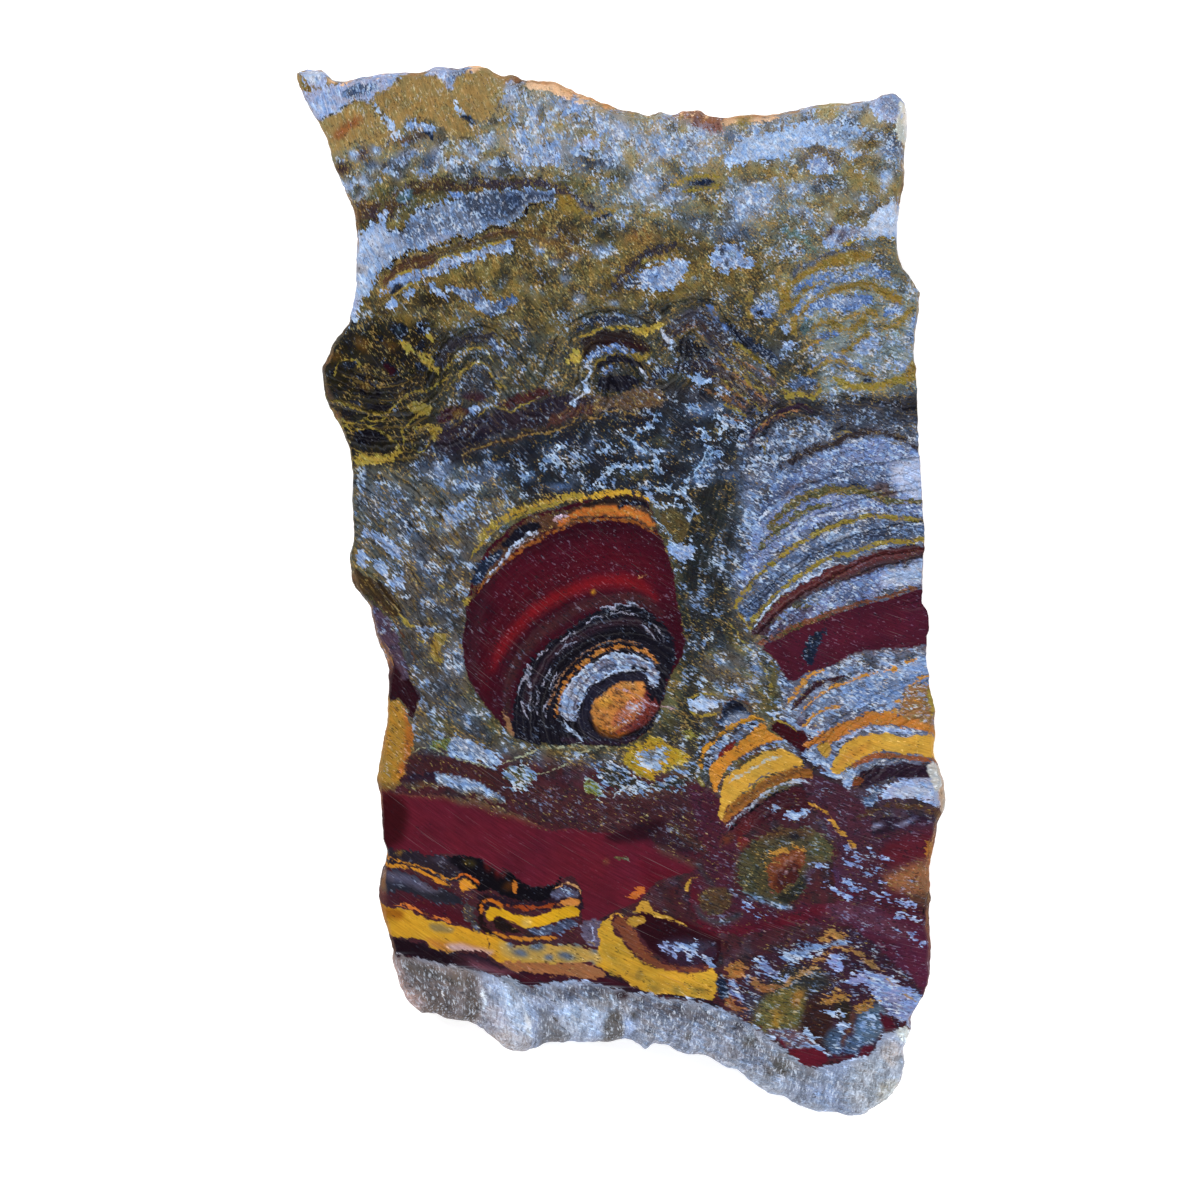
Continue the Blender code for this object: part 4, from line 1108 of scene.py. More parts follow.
thin("white", "562,710 565,693 574,679 588,667 604,657 620,653 638,657 653,666", 2.0)
thin("white", "573,718 582,700 589,686 601,681 610,674 627,669 645,670", 1.8)
thin("white", "565,722 569,729 576,734 583,742", 3.0)
lay(3, (30, 28, 44, .10, .14, 0, .8), "578,722 584,704 592,689 604,684 612,676 628,672 642,674 648,686 650,700 652,714 646,728 630,738 610,742 594,738 583,732")
lay(3, (14, 10, 16, .08, .1, 0, .8), "588,720 596,732 612,738 630,736 646,728 656,716 660,706 656,698 650,704 640,722 620,730 604,726")
lay(3, "core", "592,712 595,703 600,697 607,692 613,686 623,681 634,682 641,680 646,687 645,695 650,703 650,714 642,721 633,725 623,732 609,731 600,728 594,721")
tint(3, (120, 46, 42, .16, .34, 0, 1.4), "646,690 656,698 660,706 655,716 646,725 632,732 618,735 612,732 624,726 636,718 642,708", soft=1.6, strength=.9)
tint(3, (172, 92, 66, .34, .34, 0, 1.4), "612,720 620,708 634,698 644,700 645,708 636,718 622,726 612,726", soft=2.0, strength=.7)
for x, y, rx, ry in ((604, 716, 3, 2), (611, 705, 2, 3), (618, 692, 3, 2), (628, 690, 2, 2), (622, 701, 2, 2), (606, 724, 3, 2), (634, 688, 2, 2), (598, 708, 2, 3)):
    blot(3, (96, 52, 28, .06, .3, 0, 1), x, y, rx, ry, -30, .75)
tint(3, (188, 108, 34, .06, .36, 0, 1.4), "592,716 600,726 616,732 630,730 620,737 600,734", soft=3, strength=.7)
blot(3, "gold", 606, 702, 9, 5, -30, .5)
blot(3, (214, 180, 188, .5, .16, 0, 1), 633, 708, 5.5, 3, -35, .9)
blot(3, (190, 130, 130, .3, .2, 0, 1), 624, 714, 5, 2.5, -30, .6)
thin("pink", "614,687 624,689 634,693 643,699 650,705 660,706 676,708", 1.3)
lay(3, "tan", "502,712 506,720 510,729 514,734", [2.5, 4.5, 5, 3], shade=-.1)
lay(3, "plum", "560,738 580,742 600,742 620,742 636,736", 5)
blot(1, "gold", 594, 592, 2.4, 2.4, 0, .9)
thin("tan", "637,579 641,575 647,574", 1.6)
beds(dome, (620, 712), .08, 4.0)
beds("512,712 526,669 551,641 592,614 636,605 669,632 670,673 654,725 619,744 560,744 520,738", (622, 712), .42, 4.0)
sel, inner = shape("592,712 595,703 600,697 607,692 613,686 623,681 634,682 641,680 646,687 645,695 650,703 650,714 642,721 633,725 623,732 609,731 600,728 594,721")
bed_amp[sel] *= 1.0 - ease(-1.0, 2.0, inner)

# ---- right dome
lay(1, (124, 140, 192, .42, .46, .03, 1.5), "752,530 762,508 776,486 800,466 822,452 841,447 861,442 881,441 900,446 926,458 926,512 897,512 860,514 841,518 822,524 805,532 789,542 773,556 759,568 744,588 740,580")
tint(1, "navy", "756,516 764,498 778,486 792,478 786,494 774,506 764,522", soft=5, strength=.5)
tint(1, "slate", "800,482 830,470 870,464 900,470 880,486 840,490 806,498", soft=7, strength=.55)
tint(1, "brown", "786,494 800,484 816,480", 4, soft=3, strength=.8)
tint(1, "brown", "870,492 878,483 892,484 896,494 884,499", soft=4, strength=.75)
tint(1, (190, 198, 228, .3, .08, 0, 1.1), "892,466 908,458 924,456 926,500 908,496 894,482", soft=5, strength=.9)
tint(1, "navy", "846,480 862,482 866,490 850,492", soft=3, strength=.7)
lay(2, (92, 84, 52, .16, .3, .22, 1), "768,530 780,514 796,502 814,494 836,490 860,490 890,500 926,500", [6, 8, 9, 10, 9, 7, 6, 4])
thin("white", "758,522 768,511 779,501 792,492", 2.6)
thin("white", "773,551 786,538 798,525 814,517 830,514 846,512 870,505", 2.4, shade=-.05)
lay(2, "olive", "760,548 770,536 782,526 796,516 812,509 830,505", [4, 6, 6, 5, 4])
lay(2, "golden", "735,606 743,592 759,574 773,562 789,549 805,539 822,531 841,523 857,520 881,515 897,517 928,520", [3, 3.8, 4, 4.4, 4.4, 4.4, 4.4, 4.4, 5, 4.6, 4.6])
band(1, "slate", "738,610 748,596 762,579 778,566 794,553 810,543 826,535 844,528 860,525 884,521 926,525", "752,622 760,609 772,595 788,581 804,569 820,560 836,553 852,549 868,545 900,538 926,536")
tint(1, "inky", "752,606 770,584 790,566 812,552 806,560 788,574 768,592 756,612", soft=4, strength=.5)
blot(1, "white", 842, 537, 24, 5, -14, .55)
blot(1, "white", 790, 568, 16, 4, -38, .5)
blot(1, "inky", 870, 536, 24, 4, -8, .6)
lay(3, "golden", "749,628 759,614 770,600 786,586 802,573 818,563 833,557 849,553 865,549 881,544 897,541 913,540 928,539", [2.8, 3.4, 3.8, 3.8, 3.8, 3.8, 3.8, 3.8, 3.8, 4.2, 4.2])
thin("golden", "735,606 741,616 749,627", 2.6)
thin("white", "754,629 765,613 779,598 795,586 814,574 833,565 846,562", 2.4)
band(1, "maroon_grey", "752,634 764,618 778,602 794,589 812,577 832,567 848,562 866,556 884,550 900,546 928,544", "768,634 779,618 802,600 825,588 849,580 873,572 897,565 928,560")
tint(1, (80, 70, 76, .18, .3, .02, 1.1), "800,596 830,580 866,566 900,556 928,552 928,560 880,570 830,586 806,600", soft=4, strength=.55)
tint(1, (98, 44, 46, .10, .24, .02, 1.0), "758,628 778,602 800,584 824,570 850,561 880,553 926,545 926,553 884,562 852,572 826,582 800,596 780,612", soft=3, strength=.85)
band(1, (124, 134, 182, .42, .38, .02, 1.6), "766,638 779,618 794,610 814,603 829,588 849,580 873,572 897,565 928,560", "766,644 786,631 802,622 821,615 840,609 859,601 881,595 889,590 928,584")
tint(1, "plum", "766,642 780,622 800,611 816,606 806,617 786,629", soft=4, strength=.6)
tint(1, "white", "880,577 900,568 928,562 928,580 904,584 884,587", soft=5, strength=.7)
tint(1, "slate", "830,598 850,586 872,578 866,590 846,602", soft=5, strength=.5)
lay(2, (112, 66, 48, .1, .2, .06, 1.2), "760,644 773,638 789,630 808,622 827,614 843,608 865,602 889,595 926,586", [3, 4, 4, 4, 4, 4.4, 4.4, 4.4, 4], shade=.05)
lay(1, (72, 24, 42, .05, .1, 0, .6), "764,646 789,633 808,625 827,617 843,611 865,605 889,598 926,589 936,612 934,642 928,643 913,649 889,650 865,654 846,658 833,665 814,671 798,679 792,683 779,668 768,652")
tint(1, (86, 26, 46, .05, .1, 0, .6), "820,640 860,622 910,610 930,620 900,634 850,644", soft=8, strength=.6)
lay(2, "navy", "806,641 814,634 826,627 820,640 814,654 810,667 804,660 802,650", shade=-.1)
lay(1, (110, 100, 112, .3, .2, .04, 1.1), "838,664 850,657 866,654 890,652 930,649", [3, 4, 5, 5, 6], shade=-.05)
lay(1, "slate", "772,660 780,674 790,690", 4)
for pts, w in (("786,702 793,695 800,686 811,675 824,669", 4.6), ("800,713 811,701 825,691 841,684 857,678 877,672", 4.0), ("883,670 897,669", 3.0), ("905,662 914,661", 2.6), ("802,727 814,716 829,708 842,704", 3.4),
               ("908,688 920,680 930,676", 3.4), ("894,702 910,700 926,704", 3.0), ("884,712 900,708", 2.6)):
    lay(2, (190, 132, 58, .06, .14, .04, .9), pts, 0.8 * w)
    thin((206, 144, 58), pts, 0.4 * w)
lay(1, "maroon_grey", "792,708 802,697 814,687 830,680 846,676", 5)
lay(1, "pale", "846,678 866,671 892,666 930,660 938,690 934,710 900,706 870,704 850,710 838,704 840,690")
tint(1, "blue", "852,690 880,678 920,674 930,690 900,700 866,700", soft=6, strength=.6)
lay(1, "pale", "808,718 820,700 836,692 842,698 830,712 816,724")
tint(1, "slate", "806,716 822,698 838,692 826,706", soft=4, strength=.5)
lay(2, (146, 104, 70, .3, .24, .2, 1.3), "904,690 916,684 934,686 938,704 930,728 908,728 898,712")
lay(2, "golden", "928,690 934,690 938,710 938,752 933,750 931,712", shade=.12)
band(2, "orange", "806,742 817,735 829,729 843,722 856,717 872,712 892,712 912,719 936,728", "808,748 818,744 833,741 843,737 856,730 870,725 890,724 910,728 936,735", shade=.04)
lay(1, "lavender", "838,745 851,735 868,728 890,728 912,732", 5)
band(2, "mustard", "832,768 838,754 844,745 856,738 870,734 890,733 912,736 940,738", "838,774 845,769 856,761 870,754 888,751 910,754 940,757")
tint(2, "orange", "834,770 842,758 856,748 872,742 866,750 850,760", soft=3, strength=.4)
lay(2, "mustard", "818,750 824,742 831,749 827,758", shade=-.1)
lay(1, (140, 80, 50, .08, .12, .06, .8), "848,768 862,760 880,756 910,758 938,760", 6)
lay(1, "plum", "852,784 862,772 880,766 910,764 942,768 942,788 915,780 890,778 868,786")
lay(2, "rust", "852,780 857,776 864,778 861,784 854,785", shade=-.1)
lay(1, "lavender", "882,800 892,784 910,778 934,780 946,790 940,806 920,800 900,800")
tint(1, "white", "896,792 912,784 930,786 926,798 904,798", soft=4, strength=.7)
lay(1, "slate", "862,800 872,788 886,786 878,798 868,806")
lay(1, (196, 194, 192, .2, .04, 0, .7), "928,764 940,764 950,784 952,802 948,816 938,808 934,790 930,776")
lay(2, "brown", "858,818 876,810 896,806 920,808 948,814", [3, 4, 5, 5, 6])
lay(1, "plum", "856,832 876,820 900,816 942,820 938,836 900,832 872,842")
for x, y, rx, ry in ((876, 826, 9, 3), (906, 822, 10, 3), (890, 790, 8, 4), (862, 810, 6, 4)):
    blot(1, "lavender", x, y, rx, ry, -15, .7)
lay(1, (74, 40, 56, .16, .26, .02, 1.2), "840,840 880,834 940,824 940,900 900,902 860,904 836,888")
tint(1, (92, 28, 40, .08, .14, 0, .8), "880,850 896,838 940,832 938,862 915,860 898,866 884,862", soft=6, strength=.85)
lay(2, "orange", "926,842 936,842 934,872 928,868", shade=-.1)
beds("740,600 756,540 780,490 830,455 930,450 930,600 860,600 800,620 764,644", (950, 800), .5, 5.0)
beds("786,706 830,664 930,650 940,760 850,780 800,740", (960, 860), .45, 5.0)

# ---- column
lay(1, "white", "688,703 694,700 701,698 713,700 718,705 712,709 699,712 692,708", shade=-.04)
thin("golden", "686,700 698,695 712,695 722,699", 2.6)
thin("golden", "688,708 696,714 708,714 720,711", 2.6)
thin("brown", "715,731 717,720 724,705 735,697 745,700 753,711", 2.4)
lay(1, "navy", "717,730 720,712 727,702 736,698 744,701 748,710 752,716 742,724 730,730")
tint(1, "white", "722,722 734,713 748,712 752,718 740,722 728,730", soft=3, strength=.55)
tint(1, "black", "724,712 731,703 740,701 744,706 734,708", soft=2, strength=.8)
lay(1, (44, 40, 50, .46, .2, .02, 1.3), "703,766 706,752 714,742 726,734 738,726 750,720 758,722 756,732 742,740 728,752 718,760 710,768")
tint(1, "white", "712,752 726,740 744,728 750,732 734,744 718,758", soft=3, strength=.35)
lay(1, (110, 34, 32, .1, .16, .02, 1), "718,758 722,750 730,743 736,742 734,750 726,757")
lay(2, (206, 140, 40, .04, .14, .04, .8), "701,767 702,756 706,748 714,740 724,732 734,725 744,720 755,717 763,721", [2.2, 3, 3.4, 3.4, 3.4, 3.2, 3, 2.4])
lay(2, (200, 130, 46, .05, .16, .04, .8), "710,772 712,764 720,758 730,752 738,744 747,736 754,730 759,724 764,723 768,731 776,736 783,742 770,744 761,746 752,751 742,757 734,762 727,768 721,776 719,785 715,792 711,786", shade=.02)
lay(2, (66, 50, 66, .42, .24, 0, 1.1), "728,769 737,761 748,754 760,748 771,744 784,742", [2.4, 3.2, 3.6, 3.6, 3.6, 2.4])
band(2, "mustard", "718,812 719,800 721,789 726,779 734,771 744,763 754,757 766,752 777,750 788,751 795,756 801,761", "720,820 727,808 734,801 742,794 750,789 759,782 770,775 782,770 793,767 801,767")
thin("brown", "718,792 722,782 730,772 742,761 753,754 765,749 777,747 790,749", 2.4)
thin("cream", "729,784 739,776 750,769 761,763 770,759 783,757", 3.0, shade=-.12)
thin("grey", "747,787 757,780 771,773", 2.2)
band(2, "orange", "722,822 730,806 742,796 752,789 761,782 773,775 784,770 793,768 802,767 812,768", "728,823 742,811 752,804 761,796 770,789 782,783 793,779 806,777 814,774", shade=-.16)
tint(2, "brown", "724,818 742,800 760,786 790,771 812,769 790,776 762,790 740,806", soft=2.5, strength=.45)
thin("white", "726,827 736,818 747,810 759,798 768,791 778,786 788,782 800,780 812,782", 2.6, shade=-.08)
lay(1, (66, 26, 36, .08, .22, .02, .9), "720,832 736,822 750,812 762,802 776,793 792,787 812,786 820,800 800,812 780,820 756,826 736,842 722,846")
lay(2, (140, 150, 190, .5, .2, 0, 1.4), "770,806 776,804 781,807 776,809")
lay(2, (150, 160, 200, .5, .2, 0, 1.4), "784,816 794,812 808,813 800,817 790,819")
lay(1, (108, 38, 36, .04, .2, .04, .9), "720,846 728,838 742,836 750,842 740,852 724,854")
thin("black", "727,832 738,822 748,814 760,804 772,796 790,788", 2.2)
lay(1, (56, 14, 24, .04, .14, 0, .8), "772,722 783,720 793,722 801,727 808,736 808,753 794,745 784,739 772,731")
lay(1, "pale", "768,712 778,712 788,716 796,722 804,728 800,730 790,724 780,718 770,717")
thin("golden", "770,718 782,722 792,727 798,731", 2.0)
lay(1, "pale", "803,728 812,728 820,734 826,744 834,758 850,768 858,776 854,783 842,782 828,773 814,764 804,753 812,744")
tint(1, "slate", "812,738 826,750 846,772 832,770 816,756", soft=4, strength=.5)
lay(1, (74, 40, 56, .16, .26, 0, 1), "804,768 826,778 846,788 866,806 872,830 856,842 836,836 818,816 806,796")
for pts in ("808,803 816,807 825,812 831,819 838,828 846,836", "848,839 854,846"):
    lay(2, (194, 138, 54, .04, .14, .02, .8), pts, 2.2)
lay(2, "golden", "769,684 773,684 773,688 769,688")
lay(2, "golden", "696,772 701,780 705,790", [2, 3.4, 2], shade=-.2)
beds("700,770 716,728 760,716 800,760 816,790 740,830 716,820", (800, 860), .35, 4.0)

# ---- under the dome
lay(2, (178, 144, 44, .14, .26, .06, 1.5), "622,757 634,746 650,738 667,742 678,750 694,757 680,764 664,770 652,780 637,775 628,767")
lay(3, (124, 130, 138, .56, .42, .04, 1.8), "636,757 646,749 656,746 666,751 670,757 662,763 652,772 643,767")
lay(1, (150, 134, 56, .2, .3, .1, 1.6), "682,733 689,730 696,734 690,738")
blot(0, (104, 118, 140, .52, .40, .06, 1.3), 464, 712, 22, 13, 10, .7)
blot(0, (96, 92, 50, .24, .34, .2, 1.3), 444, 726, 16, 8, 10, .6)
lay(1, (118, 138, 176, .58, .40, .03, 1.7), "447,740 458,736 470,739 484,747 502,760 499,767 486,765 468,761 452,755")
lay(1, (120, 122, 62, .26, .34, .14, 1.5), "433,746 441,739 451,737 449,748 441,753")
for pts, w in (("412,752 424,748 436,750 450,756 466,762 482,766 500,767", 1.5), ("503,763 521,757 534,752 547,748 563,746 588,747 618,747", 2.0), ("571,757 584,751 600,749", 1.5), ("528,776 545,772 560,766 574,761", 1.0)):
    thin((158, 158, 132), pts, w)
blot(0, (84, 68, 42, .1, .4, .2, 1.2), 558, 752, 14, 4, 0, .7)
band(1, (66, 34, 38, .06, .24, .05, .9), "412,757 440,757 472,763 500,772 512,780", "405,772 436,774 466,782 492,792 512,800")
lay(2, (96, 100, 76, .50, .42, .16, 1.9), "505,770 516,765 530,768 535,780 524,790 509,786")
lay(2, (122, 126, 62, .34, .34, .10, 1.8), "584,784 590,778 598,782 601,793 594,798 586,792")
blot(1, (92, 104, 128, .5, .36, 0, 1.3), 584, 803, 6, 3, 0, .8)
thin((176, 180, 186), "612,800 617,794 622,790 627,785", 2.0)
lay(2, (54, 54, 48, .42, .40, .14, 1.8), "602,760 622,766 640,780 664,782 684,770 694,760 700,772 690,784 660,790 630,792 604,784")
lay(1, (118, 138, 174, .56, .40, .02, 1.3), "431,773 450,774 473,781 489,789 504,798 499,803 479,797 466,794 450,789 433,787")
lay(1, "plum", "404,778 420,774 434,774 436,786 420,790 404,788")
lay(1, (186, 134, 52, .12, .22, .06, .8), "387,708 393,699 401,702 406,716 411,732 414,741 411,751 406,762 405,773 397,786 388,790 372,792 370,765 380,735", shade=-.06)
tint(1, (170, 84, 34, .06, .2, .04, .8), "404,706 412,722 415,744 408,760 402,776 398,772 404,752 404,728", soft=3, strength=.6)
tint(1, "ochre", "374,760 386,758 392,776 382,790 372,790", soft=4, strength=.5)
lay(1, "maroon_dark", "380,668 396,659 404,671 414,685 418,700 412,718 406,706 398,699 390,699 380,700")
lay(1, (94, 26, 42, .02, .04, 0, .4), "372,792 397,794 430,797 455,797 479,800 496,806 516,816 537,823 554,830 579,827 596,834 616,834 650,826 690,830 700,850 692,870 660,880 640,900 612,912 600,919 584,926 581,909 581,890 571,875 555,884 537,887 521,882 509,870 496,874 488,864 476,857 463,854 446,855 421,857 402,850 376,850")
tint(1, (50, 10, 16, .01, .06, 0, .5), "376,796 402,800 406,822 400,842 376,850", soft=6, strength=.85)
tint(1, (88, 64, 50, .10, .30, .12, 1.0), "372,788 400,788 432,790 462,796 492,802 522,812 552,820 582,824", 11, soft=5, strength=.75)
tint(1, (104, 76, 56, .10, .26, .14, 1.0), "394,790 430,792 470,799 505,810 530,818 556,822 580,822", 12, soft=5, strength=.85)
lay(1, (70, 38, 44, .12, .30, .05, 1.0), "500,780 560,786 620,790 690,786 712,820 700,850 660,846 640,830 600,834 560,826 520,812")
blot(1, (104, 84, 66, .12, .2, .1, .9), 560, 772, 40, 10, 4, .6)
blot(1, (104, 84, 66, .12, .2, .1, .9), 640, 790, 36, 8, 0, .5)
tint(1, (40, 14, 24, .03, .2, 0, .7), "606,838 622,831 640,825 662,818 664,826 650,836 632,842 614,843", soft=4, strength=.85)
band(2, "black", "421,859 446,857 465,855 478,858 490,867 500,874 512,873 524,884 538,888 552,885 562,877", "425,862 440,868 455,873 470,880 478,893 489,889 500,893 515,901 530,904 545,901 556,892")
for x, y, rx, ry in ((488, 864, 4, 8), (497, 871, 4, 7), (504, 874, 3, 4)):
    blot(2, (96, 22, 22, 0, .08, 0, .5), x, y, rx, ry, -10, .85)
blot(2, (92, 50, 18, 0, .1, 0, .5), 510, 886, 7, 5, 0, .7)
lay(3, (206, 120, 44, 0, .1, 0, .8), "513,883 516,881 518,887 515,893 513,889")
lay(2, (40, 32, 42, .14, .2, .02, .9), "381,850 396,850 418,852 440,858 456,868 462,880 440,880 420,872 400,868 382,862")
blot(2, (70, 62, 78, .3, .2, 0, 1), 440, 860, 9, 4, 10, .7)
blot(2, (70, 60, 24, .1, .2, .1, 1), 468, 862, 7, 4, 0, .7)
blot(2, (150, 108, 46, .1, .2, .1, 1), 399, 852, 2.5, 4, 0, .8)
thin((196, 128, 42), "386,857 400,861 410,864 421,866 430,869 438,874 446,879 454,880", 2.0)
lay(3, (202, 132, 40, .03, .1, 0, .6), "384,865 396,865 405,867 418,870 430,875 441,881 449,885", [2.0, 2.2, 2.4, 2.4, 2.6, 2.6, 1.4])
lay(2, (44, 42, 54, .22, .2, 0, .9), "382,870 404,872 424,880 444,890 458,896 462,904 440,903 421,897 400,892 380,890", shade=-.05)
tint(2, (104, 98, 122, .34, .12, 0, .9), "384,870 404,874 426,882 440,890 430,892 410,886 390,880", soft=5, strength=.7)
tint(2, (26, 26, 34, .12, .14, 0, .8), "404,890 424,894 444,900 462,903 452,892 462,898", soft=5, strength=.7)
lay(1, (66, 28, 38, .08, .2, .02, .9), "378,866 410,872 440,884 464,900 486,934 470,929 452,922 430,920 418,914 405,906 392,904 378,900")
tint(1, "maroon", "400,898 430,902 460,912 478,928 450,920 420,912", soft=5, strength=.6)
lay(2, (216, 142, 44, .03, .06, 0, .7), "459,890 460,884 464,881 469,883 472,886 479,888 474,890 467,889 463,893")
thin((190, 96, 34), "455,881 459,877 464,875 470,877 476,881 481,886", 2.2)
thin((206, 116, 50), "392,903 404,905 414,909 426,915 440,918 452,921", 1.8)
# nested smile beds
lay(2, "plum", "479,894 500,896 520,902 545,900 562,892 578,888 584,896 582,910 566,905 548,910 520,910 500,906 484,912", shade=-.15)
lay(3, (196, 110, 34, .02, .1, 0, .6), "480,913 481,906 485,901 491,900 498,903 505,906", [2.6, 3.0, 3.2, 3.0, 2.6, 2.2])
lay(3, (150, 66, 30, .02, .16, 0, .7), "503,905 514,907 527,908 541,907 552,905 560,902", [1.6, 2.6, 3.0, 3.0, 2.8, 2.0])
lay(3, (206, 132, 64, .06, .08, 0, .6), "556,905 564,900 572,898 580,899 579,904 570,905 562,907")
thin((196, 142, 92), "553,889 561,885 569,884 577,887 582,894", 1.8)
lay(2, (84, 80, 104, .42, .2, 0, 1.0), "551,895 556,889 566,887 576,890 578,897 566,898 556,900")
lay(3, (212, 160, 32, .02, .05, 0, .4), "485,915 488,909 494,907 500,909 508,913 519,916 532,916 546,913 560,908 577,907 578,916 566,917 552,922 540,926 526,927 514,924 503,919 496,916 490,922")
tint(3, (220, 190, 130, .2, .04, 0, .5), "524,918 532,918 530,926 522,926", soft=3, strength=.5)
lay(2, (30, 20, 20, .04, .2, .02, .7), "490,919 497,918 505,922 514,927 521,933 512,935 500,931 493,927")
lay(2, (72, 76, 100, .46, .24, 0, 1.1), "528,930 540,928 552,924 566,920 577,919 576,925 562,931 546,935 532,935")
lay(3, (196, 122, 40, .02, .1, 0, .6), "494,932 503,936 513,938 527,939 541,939 556,937", [1.6, 2.6, 3.0, 2.8, 2.4, 1.8])
blot(2, (176, 110, 52, .1, .1, 0, .8), 578, 932, 5, 3, 0, .8)
lay(2, (32, 18, 20, .06, .16, 0, .7), "478,917 476,908 479,900 485,896 490,896 484,902 482,910 484,920 488,930 494,936 486,936 480,928")
lay(2, (70, 62, 66, .34, .3, .1, 1.1), "462,904 468,902 474,908 476,918 480,930 478,934 470,926 464,916")
lay(2, (60, 30, 28, .04, .2, 0, .7), "494,938 506,942 514,944 514,948 504,947 496,943")
# mustard bed along the foot
band(2, "gold", "374,903 390,907 408,909 418,915 430,921 453,924 473,930 486,935 503,940 520,946 545,944 570,946 600,948 612,950", "378,926 397,936 420,939 430,946 450,951 480,953 500,962 520,966 548,966 576,962 600,966 620,976", shade=-.06)
tint(2, (148, 84, 20, .01, .1, 0, .5), "376,902 392,908 404,912 400,920 384,918 376,916", soft=4, strength=.8)
tint(2, (120, 106, 84, .2, .14, 0, .8), "428,923 440,924 454,928 452,932 440,931 430,928", soft=2, strength=.7)
tint(2, "orange", "426,938 450,942 480,948 496,958 470,954 440,950", soft=4, strength=.8)
tint(2, (206, 176, 190, .26, .04, 0, .8), "446,944 458,944 476,948 492,953 484,957 466,955 452,951", soft=3, strength=.8)
tint(2, (172, 144, 96, .20, .2, .02, .9), "500,944 530,943 600,950 600,962 560,964 510,960", soft=4, strength=.6)
for x, y, rx, ry in ((512, 943, 5, 6), (521, 953, 8, 4), (536, 946, 7, 5), (566, 957, 8, 4), (576, 944, 9, 4), (560, 944, 6, 3), (594, 948, 6, 5), (548, 958, 5, 3), (590, 965, 5, 5), (601, 976, 4, 6)):
    blot(2, "slate", x, y, rx, ry, 10, .85)
thin("brown", "486,935 488,942 487,950", 1.6)
lay(2, (154, 98, 62, .06, .14, .04, .8), "496,961 500,962 520,962 548,964 576,962 600,968 604,976 586,978 560,975 536,974 512,970")
band(1, "plum", "376,926 398,938 420,941 436,948 455,953 480,956 500,964 520,969 541,971 567,966 591,967 612,974 639,984 660,990 690,996 716,1001", "386,956 407,958 425,960 442,965 460,969 480,972 501,977 516,985 532,986 550,983 567,981 591,983 612,988 630,993 660,997 693,1003 718,1006", shade=-.2)
tint(1, "maroon", "460,958 490,966 520,974 560,974 600,976 640,988 600,982 560,979 520,982 480,968", soft=4, strength=.6)
tint(1, (124, 78, 92, .3, .1, 0, .9), "452,957 474,960 500,968 516,974 500,974 476,968 456,964", soft=4, strength=.7)
tint(1, (24, 8, 16, .03, .1, 0, .8), "376,926 404,938 440,950 470,962 450,964 410,956 386,952", soft=4, strength=.7)
# Y-shaped bed
lay(2, (202, 154, 50, .04, .1, .02, .6), "597,928 604,922 611,921 616,936 630,952 642,962 668,970 690,973 706,970 712,964 718,978 716,990 712,998 695,998 673,995 650,993 632,984 616,972 604,962 596,950 600,942 596,934", shade=-.02)
tint(2, "ochre", "600,950 620,968 660,990 700,996 690,984 640,976 612,954", soft=4, strength=.35)
for x, y, rx, ry in ((640, 975, 4, 6), (700, 990, 8, 3), (676, 990, 6, 3), (612, 974, 5, 4), (655, 990, 6, 3)):
    blot(2, "ochre", x, y, rx, ry, 20, .8)
thin((206, 150, 60), "608,922 612,917 618,913 625,916", 2.0)
lay(2, (120, 66, 46, .04, .18, .04, .8), "614,920 627,916 636,936 647,950 662,962 684,968 704,966 711,962 708,969 688,973 668,970 646,962 630,948 618,932")
lay(1, "maroon_dark", "628,918 650,912 672,918 700,926 720,940 716,962 700,964 680,966 662,958 646,944 634,930")
tint(1, "slate", "660,944 690,940 712,944 708,958 680,962 664,954", soft=6, strength=.5)
lay(2, "plum", "668,950 684,954 700,952 712,946 714,956 700,964 684,966 670,960", shade=.15)
for pts in ("663,942 666,950 672,955", "672,956 677,948 678,942", "680,944 686,952 690,958", "690,958 694,950 694,942"):
    lay(3, (128, 134, 176, .5, .24, 0, 1.6), pts, 4.0)
lay(3, (150, 160, 200, .5, .2, 0, 1.4), "696,952 704,956 712,966", [3, 4, 2.4])
lay(2, "mustard", "629,918 643,916 644,924 632,926", shade=-.15)
lay(3, "mustard", "634,912 640,903 648,902 653,910 652,916 644,914", shade=-.06)
lay(3, "mustard", "648,912 656,915 664,918 674,921 686,926", [5, 4, 3, 2.2, 1.2], shade=-.08)
lay(3, "mustard", "687,892 688,884 692,877 698,876", [2.0, 3.2, 3.4, 1.6], shade=-.1)
lay(2, (186, 100, 44, .06, .16, .02, 1.1), "628,892 636,889 645,888 645,893 639,897 630,897")
lay(2, (96, 84, 56, .2, .3, .1, 1.2), "616,858 622,856 627,859 622,862")
blot(1, (120, 70, 50, .1, .2, .1, 1), 606, 861, 3, 3, 0, .7)
lay(1, (96, 84, 104, .35, .22, .04, 1), "583,922 598,918 604,928 600,946 586,944 582,934")
thin("lavender", "590,922 592,932 590,942", 2.2)

